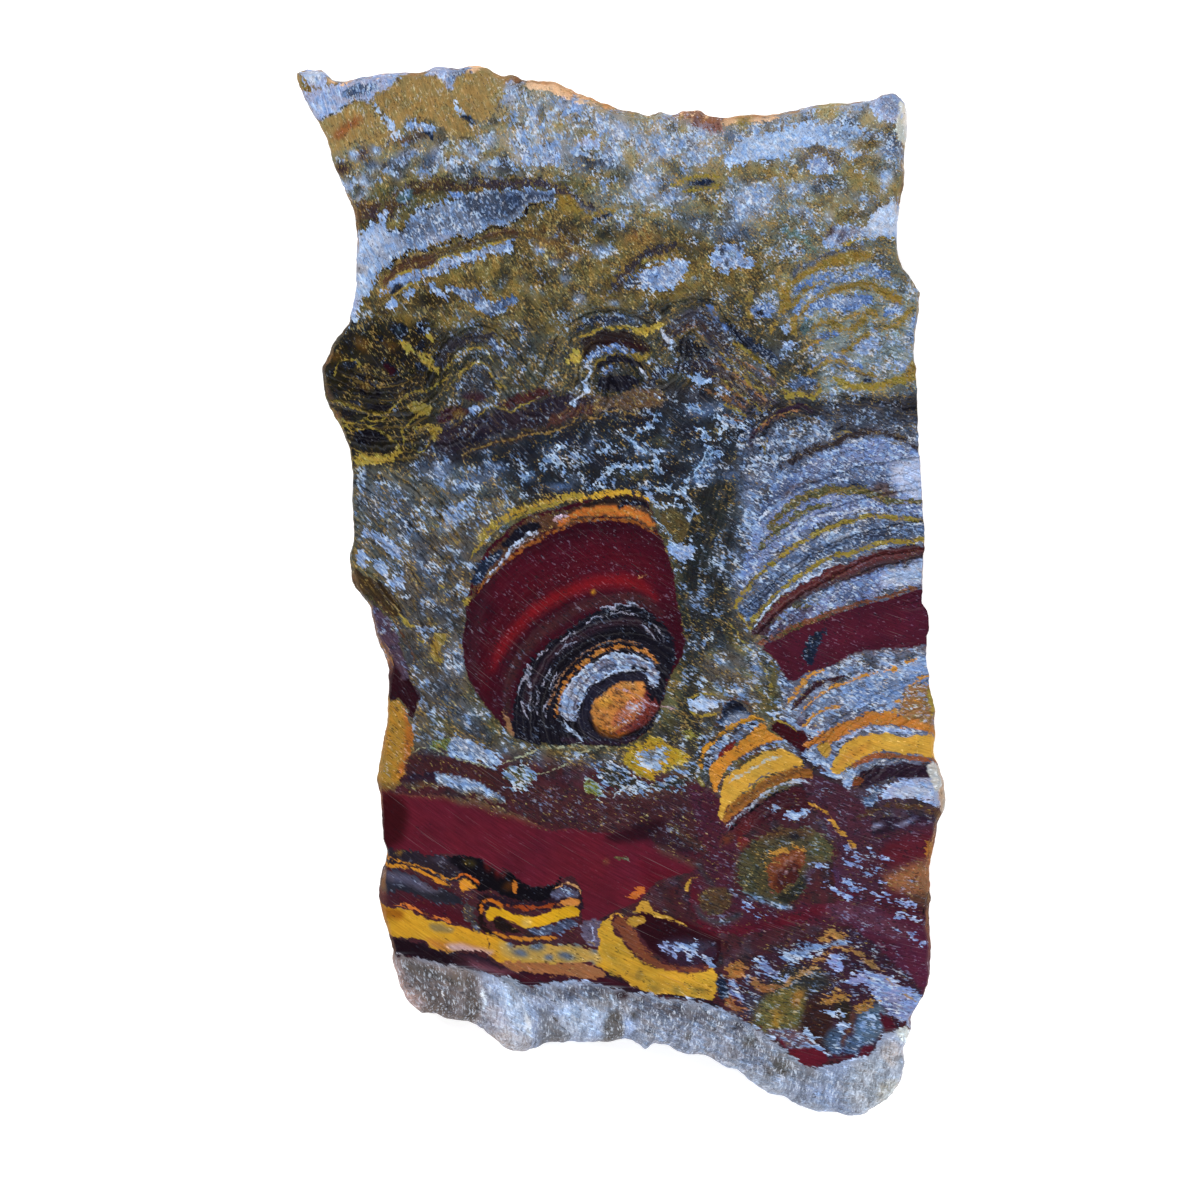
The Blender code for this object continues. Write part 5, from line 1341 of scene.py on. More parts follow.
# ---- right of the Y, the oval and the pod
lay(1, (74, 32, 48, .12, .22, .03, .8), "690,786 720,800 740,850 730,890 760,900 800,902 860,900 940,880 940,1000 900,975 860,935 800,925 740,935 700,925 690,890 700,850")
tint(1, (88, 18, 32, .02, .08, 0, .6), "640,860 690,880 700,900 720,926 700,930 660,910", soft=8, strength=.7)
blot(1, (44, 24, 36, .14, .30, .02, 1), 676, 846, 34, 9, 24, .7)
blot(1, (120, 66, 38, .06, .3, .06, 1), 728, 838, 9, 6, -40, .7)
blot(1, (104, 34, 34, .06, .2, .02, 1), 745, 826, 12, 6, -40, .6)
for pts, w in (("668,826 690,840 706,852", 7), ("656,846 676,856 700,866", 8)):
    tint(1, (84, 66, 56, .2, .34, .1, 1.1), pts, w, soft=4, strength=.6)
# small dome, then the oval
lay(1, (84, 62, 46, .10, .34, .12, 1.6), "698,900 704,890 716,886 728,892 732,902 724,912 710,914 701,909")
lay(1, (84, 74, 48, .12, .34, .16, 1.6), "738,880 740,858 753,841 775,830 800,827 820,831 830,843 834,856 826,866 812,872 806,886 798,898 784,906 768,903 751,897")
blot(1, (84, 62, 46, .10, .34, .12, 1), 715, 900, 15, 11, 20, .85)
tint(1, (60, 72, 76, .24, .3, .02, 1), "694,906 702,916 716,922 730,920 742,914", 7, soft=4, strength=.75)
tint(1, (48, 60, 64, .2, .3, .02, 1), "698,858 702,870 708,878 716,884", 6, soft=4, strength=.6)
tint(1, (80, 72, 54, .12, .34, .12, 1.1), "736,880 738,858 752,840 774,829 800,826 820,830 830,842 834,856 826,866 812,870 806,884 800,898 785,906 768,903 752,897", soft=6, strength=.9)
tint(1, (100, 64, 42, .08, .3, .08, 1), "756,834 776,827 800,826 818,832 812,838 790,836 766,840", soft=4, strength=.7)
tint(1, (88, 84, 56, .2, .3, .16, 1.1), "812,836 826,836 832,852 826,864 814,858", soft=4, strength=.65)
tint(1, (76, 70, 46, .1, .3, .14, 1.1), "738,868 748,852 764,850 766,872 768,890 756,894 742,886", soft=4, strength=.65)
blot(1, (28, 26, 36, .1, .3, 0, 1), 794, 836, 6, 5, 0, .85)
lay(2, (126, 68, 42, .16, .28, .04, 1.2), "766,872 768,862 778,855 790,851 803,849 805,860 801,872 790,884 778,894 770,888")
tint(2, (62, 24, 28, .08, .3, .02, 1), "776,874 786,864 799,862 803,874 799,890 788,900 778,892", soft=5, strength=.85)
for x, y in ((784, 862), (792, 858), (778, 870), (786, 872), (794, 868)):
    blot(2, (170, 140, 150, .5, .1, 0, 1), x, y, 3, 1.2, -30, .7)
lay(3, (192, 134, 58, .04, .22, .04, 1.3), "765,869 768,861 774,855 782,851 790,849 798,848 804,851", [1.4, 2.6, 3.2, 3.2, 3.4, 4.2, 3])
lay(1, (46, 46, 40, .14, .34, .06, 1), "778,898 790,890 802,876 808,880 800,896 790,904")
tint(1, (82, 104, 124, .5, .28, 0, 1.3), "730,890 742,895 754,898 768,903 780,906 792,908", 5, soft=2.5, strength=.85)
tint(1, (72, 46, 78, .22, .26, 0, .9), "806,870 820,864 838,868 844,880 830,890 808,886", soft=5, strength=.8)
tint(1, (94, 18, 34, .02, .1, 0, .6), "696,922 720,930 750,924 780,916 810,908 840,896 860,890 840,906 800,922 760,932 716,936", soft=6, strength=.7)
# lavender streaks that cross towards the right edge
for pts, w in (
    ("812,862 820,864 828,866", 3.6), ("848,862 855,863 862,868", 4.0), ("870,870 877,876 884,884", 6.0),
    ("856,888 868,893 882,898", 4.0), ("887,894 900,899 916,908", 4.4), ("894,912 906,917 918,922", 5.0),
    ("840,878 850,882 858,886", 2.4), ("900,930 912,936 922,944", 2.4), ("846,846 854,852 862,860", 2.4),
    ("872,852 880,858 888,862", 2.4), ("826,886 838,890 850,896", 2.0), ("748,905 756,912 764,916", 2.0),
):
    lay(2, (126, 132, 178, .34, .26, 0, 2.0), pts, 0.8 * w)
tint(1, (152, 100, 66, .16, .24, .14, 1.1), "884,878 900,869 916,864 940,860 940,892 928,898 914,897 902,891 890,888", soft=7, strength=.9)
tint(1, (92, 66, 50, .16, .26, .1, 1.1), "910,898 928,892 936,900 930,908 916,906", soft=4, strength=.7)
lay(2, (18, 12, 14, .02, .06, 0, .7), "925,887 930,889 930,896 925,895")
lay(2, (24, 16, 18, .02, .06, 0, .7), "922,909 928,910 928,915 922,914")
lay(2, (220, 158, 116, .1, .1, .04, .9), "929,876 934,874 934,940 930,938 931,910")
lay(1, (78, 32, 54, .14, .14, 0, .8), "852,908 890,912 920,926 940,930 940,1000 925,992 905,970 880,952 856,930")
tint(1, (98, 60, 78, .22, .2, 0, 1), "830,900 870,908 910,930 900,940 860,926 830,916", soft=8, strength=.7)
# pod: soft streaks laid along the saw's sweep
lay(1, (58, 34, 50, .26, .26, .04, 1.2), "735,1012 738,990 748,970 762,955 784,946 803,940 822,934 846,926 866,936 880,952 900,968 922,990 920,1014 900,1026 884,1038 868,1058 850,1062 828,1058 806,1060 790,1052 772,1040 756,1030")
tint(1, (48, 50, 48, .2, .34, .12, 1.1), "764,990 776,972 800,966 822,968 830,984 812,996 790,1000 770,1004", soft=6, strength=.85)
lay(2, (96, 110, 144, .50, .28, 0, 1.5), "780,956 790,952 802,948 816,944 832,940 846,940 852,944 838,948 820,951 804,957 790,962")
lay(2, (116, 118, 160, .38, .28, 0, 1.9), "756,960 764,962 774,968 786,972 780,978 768,974 758,968")
lay(2, (108, 110, 152, .36, .28, 0, 1.9), "730,978 738,984 744,996 738,1000 730,990")
lay(2, (158, 104, 56, .12, .30, .06, 2.0), "727,972 730,964 738,962 747,966 744,974 736,980 728,978")
lay(2, (146, 96, 58, .12, .30, .06, 2.0), "750,984 758,982 768,984 778,986 770,991 758,991")
lay(2, (150, 92, 54, .12, .30, .06, 2.0), "722,998 730,996 738,1002 744,1012 736,1012 726,1006")
lay(2, "navy", "716,979 726,978 731,990 728,998 718,996")
lay(2, (164, 118, 66, .12, .22, .06, 1.7), "817,940 824,934 834,931 846,933 846,938 836,941 824,944")
lay(2, (156, 112, 66, .14, .26, .06, 1.9), "786,984 794,976 806,970 816,963 826,955 838,948 850,949 862,956 874,966 886,976", [2, 3, 4, 5, 5, 5, 5, 5, 4, 3])
lay(2, (138, 142, 190, .40, .2, 0, 1.5), "828,958 834,955 842,961 843,970 836,969 829,964")
lay(2, (134, 138, 184, .40, .22, 0, 1.7), "846,980 852,974 862,972 870,976 868,983 856,985 848,985")
lay(2, (138, 144, 190, .42, .24, .02, 1.7), "868,978 880,972 894,978 906,988 918,1000 916,1018 902,1024 890,1018 880,1004 870,990")
tint(2, (92, 92, 130, .4, .3, 0, 1.3), "876,994 890,1000 900,1012 892,1016 882,1006", soft=5, strength=.6)
thin((170, 136, 92), "884,976 898,988 912,1000 920,1006", 1.6)
lay(1, (50, 20, 40, .1, .2, 0, .8), "916,1012 908,1022 912,1032 922,1020")
for pts in ("824,1001 829,995 836,991 844,992 849,998 842,1000 832,1004", "854,1008 860,1002 867,999 876,1006 868,1009 860,1012"):
    lay(3, (166, 116, 58, .12, .26, .06, 2.0), pts)
tint(1, (110, 104, 58, .2, .3, .2, 1.1), "752,1028 756,1008 766,996 782,990 800,990 806,1004 800,1026 786,1036 768,1036", soft=6, strength=.9)
blot(1, (176, 130, 50, .1, .2, .1, 1.1), 776, 1020, 5, 10, 10, .8)
blot(1, (180, 120, 54, .1, .2, .1, 1.1), 797, 998, 5, 9, 30, .8)
blot(1, (60, 74, 96, .3, .3, 0, 1.1), 752, 1004, 10, 14, 20, .5)
tint(1, (52, 30, 28, .08, .30, .02, 1), "802,1030 804,1010 812,998 824,998 834,1006 832,1024 838,1044 826,1052 812,1044", soft=4, strength=.9)
tint(1, (44, 38, 28, .08, .30, .02, 1), "836,1002 846,1000 852,1008 850,1020 840,1020 834,1012", soft=3, strength=.85)
tint(1, (84, 106, 132, .34, .22, 0, 1.1), "854,1036 857,1016 866,1006 879,1004 886,1016 882,1034 870,1044 858,1044", soft=4, strength=.95)
tint(1, (70, 92, 122, .30, .26, 0, 1.1), "824,1044 828,1032 836,1028 843,1034 842,1048 832,1054", soft=3, strength=.9)
tint(1, (66, 88, 120, .3, .26, 0, 1.1), "844,1052 846,1040 854,1038 860,1044 858,1056 848,1060", soft=3, strength=.9)
for pts, w in (("826,1012 836,1016 846,1024 842,1030", 4), ("838,1010 842,1018 840,1028", 3), ("806,1030 814,1040 823,1050", 3), ("862,1010 872,1018 878,1026", 3)):
    lay(2, (150, 162, 196, .5, .2, 0, 1.8), pts, w)
tint(1, (96, 60, 52, .1, .3, .04, 1), "854,1010 852,1022 847,1034 841,1046", 5, soft=2, strength=.85)
lay(1, (100, 78, 92, .34, .3, .02, 1.3), "768,1032 784,1028 800,1032 812,1040 808,1050 790,1048")
lay(1, (90, 24, 40, .03, .12, 0, .9), "757,1026 771,1036 787,1048 791,1060 802,1066 821,1066 827,1056 811,1048 795,1050 780,1040")
lay(1, (76, 22, 38, .03, .12, 0, .9), "880,1014 888,1018 896,1028 891,1033 882,1028")
lay(1, (80, 26, 42, .03, .12, 0, .9), "858,1060 860,1050 868,1044 874,1050 872,1062 864,1064")
lay(1, (70, 22, 36, .03, .12, 0, .9), "830,1052 840,1056 854,1054 852,1061 838,1062")

# ---- left middle
for pts in ("361,528 370,530 382,536 393,543 402,551 398,559 386,551 375,542 363,537", "374,562 383,562 390,574 402,578 404,588 395,589 385,579 377,571", "358,552 364,551 369,558 366,568 359,562"):
    lay(1, "pale", pts)
blot(0, "slate", 410, 530, 26, 10, 45, .6)
blot(0, "slate", 425, 570, 24, 10, 50, .6)
blot(0, "slate", 398, 500, 30, 10, 40, .5)
blot(0, "pale", 452, 520, 16, 5, -40, .7)
blot(0, "pale", 456, 660, 12, 14, 0, .6)
blot(0, "slate", 370, 500, 14, 12, 40, .6)
lay(1, "pale", "444,521 452,512 460,506 477,500", [3, 4, 4, 2])
lay(1, (66, 50, 34, .04, .3, .14, .7), "346,560 360,571 370,578 385,586 397,600 402,613 393,617 380,609 370,598 356,592 344,584")
shine("344,558 370,576 398,602 400,616 380,610 350,592", .8)
lay(2, "golden", "399,612 404,619 410,626 416,634 422,640", [3, 4.5, 4.5, 3.5], shade=.1)
lay(1, "ochre", "432,638 440,633 447,634 444,642 441,648 443,662 434,660 430,648", shade=.08)
lay(2, "golden", "463,598 470,598 470,604 464,604")
lay(2, "golden", "438,584 443,584 443,588 439,588")
for x, y, rx, ry, t in ((444, 611, 12, 10, 0), (424, 600, 10, 8, 30), (412, 660, 10, 14, 0), (440, 690, 14, 14, 0), (480, 730, 16, 10, 20)):
    blot(0, "navy", x, y, rx, ry, t, .5)
lay(1, (82, 62, 78, .24, .24, .02, 1), "362,598 374,606 386,618 396,636 404,656 410,676 404,680 394,664 384,646 372,632 364,618")
thin("brown", "374,600 388,612 398,628 408,646 416,664", 2.4)
thin("tan", "366,622 378,636 388,652 394,666", 2.0)
beds("340,470 440,480 470,520 440,580 400,620 350,560", "350,500 400,540 450,600", .5)
beds("400,620 470,560 466,660 500,740 430,750 400,700", "400,620 430,680 470,740", .3)
beds("680,500 750,480 740,560 730,620 770,690 700,740 690,660", "740,480 720,560 720,620 770,700", .18)
for x, y, rx, ry, t in ((720, 560, 14, 12, 0), (735, 520, 10, 14, 20), (716, 640, 12, 10, 40), (745, 660, 14, 8, 40), (700, 600, 8, 12, 0)):
    blot(0, (78, 92, 110, .46, .42, .04, 1.3), x, y, rx, ry, t, .45)
for x, y, rx, ry, t in ((715, 690, 20, 5, 20), (738, 646, 16, 4, 50), (762, 690, 12, 4, 40), (712, 655, 8, 4, 0), (750, 676, 12, 4, 30)):
    blot(0, (132, 124, 74, .34, .36, .1, 1.3), x, y, rx, ry, t, .7)
for x, y, rx, ry, t in ((760, 668, 13, 4, 45), (726, 664, 14, 4, 40), (744, 694, 12, 4, 20)):
    blot(0, (104, 122, 146, .5, .4, .02, 1.3), x, y, rx, ry, t, .7)
thin((150, 132, 66), "726,620 736,632 748,648 762,664 776,690", 1.6)
for x, y, rx, ry, t in ((690, 722, 24, 14, 0), (700, 746, 20, 12, 0), (668, 736, 10, 8, 0)):
    blot(0, (42, 40, 36, .22, .42, .22, 1.4), x, y, rx, ry, t, .75)

# ---- quartz foot
foot = np.vstack([quartz_line, read("960,1015 960,1150 380,1150 360,1060 376,960")])
lay(3, "quartz", foot, rounded=False)
tint(3, (140, 152, 180, .14, .10, 0, .9), "770,1050 820,1072 870,1066 890,1090 850,1116 800,1108 760,1080", soft=12, strength=.7)
tint(3, (132, 118, 116, .10, .20, 0, .9), "380,950 410,952 440,962 476,970 484,1000 478,1032 440,1026 400,1012 384,980", soft=10, strength=.95)
tint(3, (198, 168, 166, .14, .04, 0, .8), "390,962 398,960 406,976 416,992 426,1008 414,1010 400,998", soft=5, strength=.7)
tint(3, (92, 84, 78, .06, .2, 0, .9), "404,964 424,966 448,974 470,980 462,986 436,980 412,974", soft=4, strength=.7)
tint(3, (84, 74, 70, .06, .2, 0, .9), "428,996 440,990 452,1000 450,1014 436,1012", soft=5, strength=.6)
tint(3, (88, 78, 72, .06, .2, 0, .9), "464,996 474,992 480,1006 478,1022 466,1016", soft=4, strength=.7)
tint(3, (186, 178, 188, .1, .06, 0, .8), "484,1010 500,1008 512,1024 506,1040 492,1036", soft=6, strength=.7)
tint(3, (206, 200, 206, .1, .04, 0, .8), "488,1036 504,1028 524,1034 536,1044 530,1060 500,1060", soft=6, strength=.7)
tint(3, (196, 214, 242, .14, .04, 0, .9), "500,986 522,990 530,1010 520,1030 508,1016", soft=8, strength=.7)
tint(3, (186, 204, 234, .14, .06, 0, .9), "556,998 590,1006 614,1012 604,1030 580,1034 562,1016", soft=8, strength=.6)
tint(3, (236, 238, 244, .2, 0, 0, .8), "524,1012 528,1016 531,1032 528,1038 524,1026", soft=2, strength=.85)
tint(3, (104, 100, 98, .06, .2, 0, .9), "541,1008 548,1014 560,1026 572,1038 568,1048 548,1046 540,1030", soft=6, strength=.6)
tint(3, (96, 88, 80, .05, .2, 0, .9), "603,1038 605,1022 613,1012 622,1014 624,1034 614,1042", soft=3, strength=.85)
tint(3, (124, 122, 128, .2, .3, 0, 1), "500,972 540,984 600,986 660,1000 720,1010 780,1046 820,1068 800,1074 760,1056 700,1030 640,1018 580,1004 520,996", soft=8, strength=.6)
tint(3, (128, 132, 152, .24, .3, 0, 1), "640,1012 700,1020 760,1052 780,1080 740,1070 690,1044 650,1040", soft=10, strength=.6)
for x, y, rx, ry, t in ((568, 994, 10, 6, 5), (588, 990, 14, 7, 5), (646, 1004, 14, 8, 0), (604, 988, 9, 6, 0), (530, 988, 8, 6, 0), (668, 1012, 14, 7, 0), (700, 1018, 12, 6, 0), (676, 1008, 8, 8, 0), (740, 1024, 7, 12, 10)):
    blot(3, (70, 68, 82, .2, .36, 0, 1), x, y, rx, ry, t, .6)
blot(3, (40, 18, 24, 0, .1, 0, .8), 622, 995, 6, 5, 30, .9)
blot(3, (88, 82, 78, .05, .2, 0, .8), 690, 1037, 4, 5, 0, .9)
blot(3, (84, 78, 74, .05, .2, 0, .8), 634, 1016, 3, 4, 0, .8)
blot(3, (92, 88, 82, .05, .2, 0, .8), 749, 1042, 7, 6, 0, .8)
blot(3, (84, 82, 78, .05, .2, 0, .8), 782, 1066, 10, 7, 20, .85)
blot(3, (96, 90, 84, .05, .2, 0, .8), 770, 1074, 6, 5, 30, .6)
blot(3, (110, 108, 108, .1, .2, 0, .8), 812, 1078, 20, 7, 10, .5)
tint(3, (186, 200, 226, .16, .06, 0, .9), "726,1060 760,1074 800,1098 840,1110 820,1116 780,1100 740,1080", soft=6, strength=.6)
tint(3, (176, 184, 196, .14, .06, 0, .8), "850,1070 890,1050 912,1062 900,1096 870,1112 846,1100", soft=10, strength=.6)
tint(3, "cream", "878,1090 896,1080 910,1096 884,1116", soft=5, strength=.6)
tint(3, (224, 228, 222, .2, .02, 0, .7), "896,1028 906,1022 916,1032 910,1044 900,1042", soft=3, strength=.85)
tint(3, (206, 192, 186, .1, .04, 0, .7), "882,1050 894,1040 900,1056 890,1066", soft=4, strength=.6)
for pts, w in (("482,990 484,1000 482,1010", 2.4), ("440,985 443,996", 1.8), ("403,986 407,998", 1.8), ("452,992 454,1004", 1.8), ("510,1030 504,1038", 1.6)):
    thin((226, 232, 244), pts, w)
for pts in ("551,1012 556,1020 566,1030 574,1042", "469,990 474,1002 478,1016"):
    thin((84, 82, 84), pts, 1.6)

# ---------------------------------------------------------------- whole-stone shades
here = at2(spot[:, 0] / 46, spot[:, 1] / 46, depth_u / 46)
broad = rough3(here, 4, 61)
mid = rough3(here * 3.1, 3, 62)
warm = rough3(here * 1.7 + 9.0, 3, 63)
for k in range(LAYERS + 1):
    strength = 0.11 if k == 0 else 0.07
    rgb[k] = rgb[k] * (1.0 + strength * broad + strength * mid)[:, None]
    rgb[k] = rgb[k] * (1.0 + 0.05 * warm[:, None] * np.array([1.0, 0.2, -1.0]))

# The beds at the lower left are dense jasper, with hardly any grain.
for pts, pale_keep, dark_keep in (
    ("372,846 440,850 520,884 600,900 640,920 700,975 640,992 560,984 480,980 390,960 374,900", 0.40, 0.55),
    ("372,796 460,798 560,834 640,834 690,850 640,900 560,884 470,856 376,850", 0.55, 0.60),
):
    sel, inner = shape(pts)
    share = ease(-6.0, 8.0, inner)[:, None]
    for k in range(LAYERS + 1):
        par[k][sel, 0:1] *= 1.0 + (pale_keep - 1.0) * share
        par[k][sel, 1:2] *= 1.0 + (dark_keep - 1.0) * share

# The gold beds of the two columns are smooth, with hardly any bedding in them.
for pts in (
    "712,772 722,752 744,742 790,742 806,764 782,780 746,800 724,828 712,806",
    "830,778 836,746 868,731 942,727 942,758 892,757 862,765 842,778",
):
    sel, inner = shape(pts)
    bed_amp[sel] *= 1.0 - 0.8 * ease(-3.0, 3.0, inner)

# Grains gather in clusters, most of all in the ground between the beds.
def cluster(size, seed):
    return rough3(at2(spot[:, 0] / size, spot[:, 1] / size, depth_u / size), 2, seed)


for k in range(LAYERS + 1):
    gain = 1.0 if k == 0 else 0.45
    for column, size, seed, much in ((0, 9.0, 91, 0.46), (1, 8.0, 94, 0.40), (2, 12.0, 97, 0.36)):
        had = par[k][:, column]
        par[k][:, column] = np.clip(had + gain * much * cluster(size, seed) * np.minimum(1.0, had / 0.12), 0.0, 1.0)
blue_part = np.clip(cluster(15.0, 101) * 1.8, 0.0, 1.0) * np.minimum(1.0, par[0][:, 0] / 0.16)
dark_part = np.clip(cluster(12.0, 104) * 1.8, 0.0, 1.0) * np.minimum(1.0, par[0][:, 1] / 0.2)
rgb[0] += (np.array([88.0, 102.0, 132.0]) - rgb[0]) * (0.36 * blue_part)[:, None]
rgb[0] += (np.array([46.0, 46.0, 48.0]) - rgb[0]) * (0.5 * dark_part)[:, None]

# The broken edge is weathered: rust and clay over the beds, paler at rims.
crust_noise = rough3(at2(xy[:, 0] / 20, xy[:, 1] / 20, z / 14), 4, 71)
crust = is_wall * np.clip(0.42 + 0.9 * crust_noise, 0.0, 0.85)
crust_rgb = np.array([150.0, 104.0, 66.0]) + 26.0 * rough3(at2(xy[:, 0] / 9, xy[:, 1] / 9, z / 9), 3, 72)[:, None] * np.array([1.0, 0.9, 0.7])
foot_part = ease(-6.0, 10.0, xy[:, 1] - np.interp(xy[:, 0], quartz_line[:, 0], quartz_line[:, 1]))
crust = crust * (1.0 - 0.85 * foot_part)
crust = crust * ease(0.0, 6.0, depth_u)
crust = crust * (1.0 - 0.9 * np.exp(-(((xy[:, 0] - 905.0) / 12.0) ** 2) - ((xy[:, 1] - 130.0) / 34.0) ** 2))
for k in range(LAYERS + 1):
    rgb[k] = rgb[k] + (crust_rgb - rgb[k]) * crust[:, None]

# Columns in the quartz run down from its line; bedding elsewhere.
fan = spot[:, 0] + 0.25 * (spot[:, 1] - 1000.0) * (spot[:, 0] - 640.0) / 260.0
use = foot_part > 0.5
bed = np.where(use, fan * 0.8, bed)
bed_amp = np.where(use, 0.10, bed_amp)

dx, dy = flat[:, 0] - SAW_X, flat[:, 1] - SAW_Y
saw_r = np.hypot(dx, dy)
saw_a = np.arctan2(dy, dx) * 700.0
saw_on = (1.0 - is_wall) * (1.0 - 0.8 * gloss) * (1.0 - 0.75 * foot_part)
for text, _, _ in FACETS:
    poly = read(text)
    saw_on = np.where(inside(flat, poly), 0.1 * saw_on, saw_on)


def linear(values):
    v = np.clip(values / 255.0, 0.0, 1.0)
    return np.where(v <= 0.04045, v / 12.92, ((v + 0.055) / 1.055) ** 2.4)


# ---------------------------------------------------------------- mesh object
metres = np.stack([(xy[:, 0] - MID_X) * UNIT, (MID_Y - xy[:, 1]) * UNIT, z * UNIT], axis=1)
mesh = bpy.data.meshes.new("stromatolite_slab")
mesh.vertices.add(n_all)
mesh.vertices.foreach_set("co", metres.astype(np.float32).ravel())
mesh.loops.add(len(faces) * 3)
mesh.loops.foreach_set("vertex_index", faces.astype(np.int32).ravel())
mesh.polygons.add(len(faces))
mesh.polygons.foreach_set("loop_start", np.arange(0, len(faces) * 3, 3, dtype=np.int32))
mesh.polygons.foreach_set("loop_total", np.full(len(faces), 3, dtype=np.int32))
mesh.update(calc_edges=True)
mesh.validate()
mesh.polygons.foreach_set("use_smooth", np.ones(len(mesh.polygons), bool))
mesh.set_sharp_from_angle(angle=math.radians(42))


def store(name, kind, values):
    layer = mesh.attributes.new(name, kind, "POINT")
    field = {"FLOAT": "value", "FLOAT_VECTOR": "vector", "FLOAT_COLOR": "color"}[kind]
    layer.data.foreach_set(field, np.ascontiguousarray(values, np.float32).ravel())


def with_alpha(colours, alpha):
    return np.concatenate([linear(colours), alpha[:, None]], axis=1)


for k in range(LAYERS + 1):
    store("ink%d" % k, "FLOAT_COLOR", with_alpha(rgb[k], par[k][:, 3]))
    store("grain%d" % k, "FLOAT_VECTOR", par[k][:, :3])
    if k:
        store("gap%d" % k, "FLOAT", gap[k])
store("line_ink", "FLOAT_COLOR", with_alpha(line_rgb, np.ones(n_all)))
store("line", "FLOAT_VECTOR", np.stack([line_off, line_half, np.zeros(n_all)], axis=1))
store("saw", "FLOAT_VECTOR", np.stack([saw_r, saw_a, saw_on], axis=1))
store("bedding", "FLOAT_VECTOR", np.stack([bed, bed_amp, np.clip(is_wall, 0, 1)], axis=1))
store("finish", "FLOAT_VECTOR", np.stack([gloss, foot_part, crust], axis=1))

slab = bpy.data.objects.new("stromatolite_slab", mesh)
bpy.context.scene.collection.objects.link(slab)


# ---------------------------------------------------------------- stone material
class Net:
    """Short ways to wire shader nodes."""

    def __init__(self, tree):
        self.tree = tree
        self.made = 0

    def node(self, kind, **settings):
        n = self.tree.nodes.new(kind)
        n.location = (220 * (self.made % 12), -260 * (self.made // 12))
        self.made += 1
        for key, value in settings.items():
            setattr(n, key, value)
        return n

    def put(self, socket, value):
        if hasattr(value, "is_output") or hasattr(value, "links"):
            self.tree.links.new(value, socket)
        else:
            socket.default_value = value

    def math(self, op, a, b=None, c=None, clamp=False):
        n = self.node("ShaderNodeMath", operation=op, use_clamp=clamp)
        for socket, value in zip(n.inputs, (a, b, c)):
            if value is not None:
                self.put(socket, value)
        return n.outputs[0]

    def ramp(self, value, low, high, to_low=0.0, to_high=1.0, smooth=True):
        n = self.node("ShaderNodeMapRange", interpolation_type="SMOOTHSTEP" if smooth else "LINEAR")
        for socket, v in zip(n.inputs[:5], (value, low, high, to_low, to_high)):
            self.put(socket, v)
        return n.outputs[0]

    def mix(self, share, a, b, blend="MIX"):
        n = self.node("ShaderNodeMix", data_type="RGBA", blend_type=blend)
        n.clamp_factor = True
        self.put(n.inputs[0], share)
        self.put(n.inputs[6], a)
        self.put(n.inputs[7], b)
        return n.outputs[2]

    def mixv(self, share, a, b):
        n = self.node("ShaderNodeMix", data_type="VECTOR")
        self.put(n.inputs[0], share)
        self.put(n.inputs[4], a)
        self.put(n.inputs[5], b)
        return n.outputs[1]

    def attribute(self, name):
        return self.node("ShaderNodeAttribute", attribute_name=name)

    def split(self, vector):
        n = self.node("ShaderNodeSeparateXYZ")
        self.put(n.inputs[0], vector)
        return n.outputs[0], n.outputs[1], n.outputs[2]

    def join(self, x, y, z):
        n = self.node("ShaderNodeCombineXYZ")
        for socket, v in zip(n.inputs, (x, y, z)):
            self.put(socket, v)
        return n.outputs[0]

    def noise(self, vector, detail=2.0, roughness=0.5, scale=1.0, kind="3D", w=None, distortion=0.0):
        n = self.node("ShaderNodeTexNoise", noise_dimensions=kind)
        if vector is not None:
            self.put(n.inputs["Vector"], vector)
        if w is not None:
            self.put(n.inputs["W"], w)
        n.inputs["Scale"].default_value = scale
        n.inputs["Detail"].default_value = detail
        n.inputs["Roughness"].default_value = roughness
        n.inputs["Distortion"].default_value = distortion
        return n


def tone(r, g, b):
    return tuple(float(v) for v in linear(np.array([r, g, b], float))) + (1.0,)


LIGHT = 0.62      # the studio lights the stone brighter than its own colours
material = bpy.data.materials.new("banded_stone_sawn")
material.use_nodes = True
net = Net(material.node_tree)
material.node_tree.nodes.clear()
out = net.node("ShaderNodeOutputMaterial")
bsdf = net.node("ShaderNodeBsdfPrincipled")
material.node_tree.links.new(bsdf.outputs["BSDF"], out.inputs["Surface"])

saw_x, saw_y, saw_mark = net.split(net.attribute("saw").outputs["Vector"])
bed_at, bed_strength, wall = net.split(net.attribute("bedding").outputs["Vector"])
shiny, foot_share, crusty = net.split(net.attribute("finish").outputs["Vector"])
place = net.node("ShaderNodeTexCoord").outputs["Object"]
px, py, pz = net.split(place)
rock = net.join(
    net.math("MULTIPLY", px, 1.0 / UNIT), net.math("MULTIPLY", py, 1.0 / UNIT), net.math("MULTIPLY", pz, 1.0 / UNIT)
)

# Grains lie along the saw's sweep on the cut faces, and every way on breaks.
along_fine = net.join(net.math("MULTIPLY", saw_x, 1 / 1.7), net.math("MULTIPLY", saw_y, 1 / 3.5), net.math("MULTIPLY", pz, 0.3 / UNIT))
along_mid = net.join(net.math("MULTIPLY", saw_x, 1 / 4.2), net.math("MULTIPLY", saw_y, 1 / 7.0), net.math("MULTIPLY", pz, 0.15 / UNIT))
rock_fine = net.node("ShaderNodeVectorMath", operation="SCALE")
net.put(rock_fine.inputs[0], rock)
rock_fine.inputs["Scale"].default_value = 1 / 3.0
rock_mid = net.node("ShaderNodeVectorMath", operation="SCALE")
net.put(rock_mid.inputs[0], rock)
rock_mid.inputs["Scale"].default_value = 1 / 8.0
fine = net.noise(net.mixv(wall, along_fine, rock_fine.outputs[0]), detail=2.0, roughness=0.62)
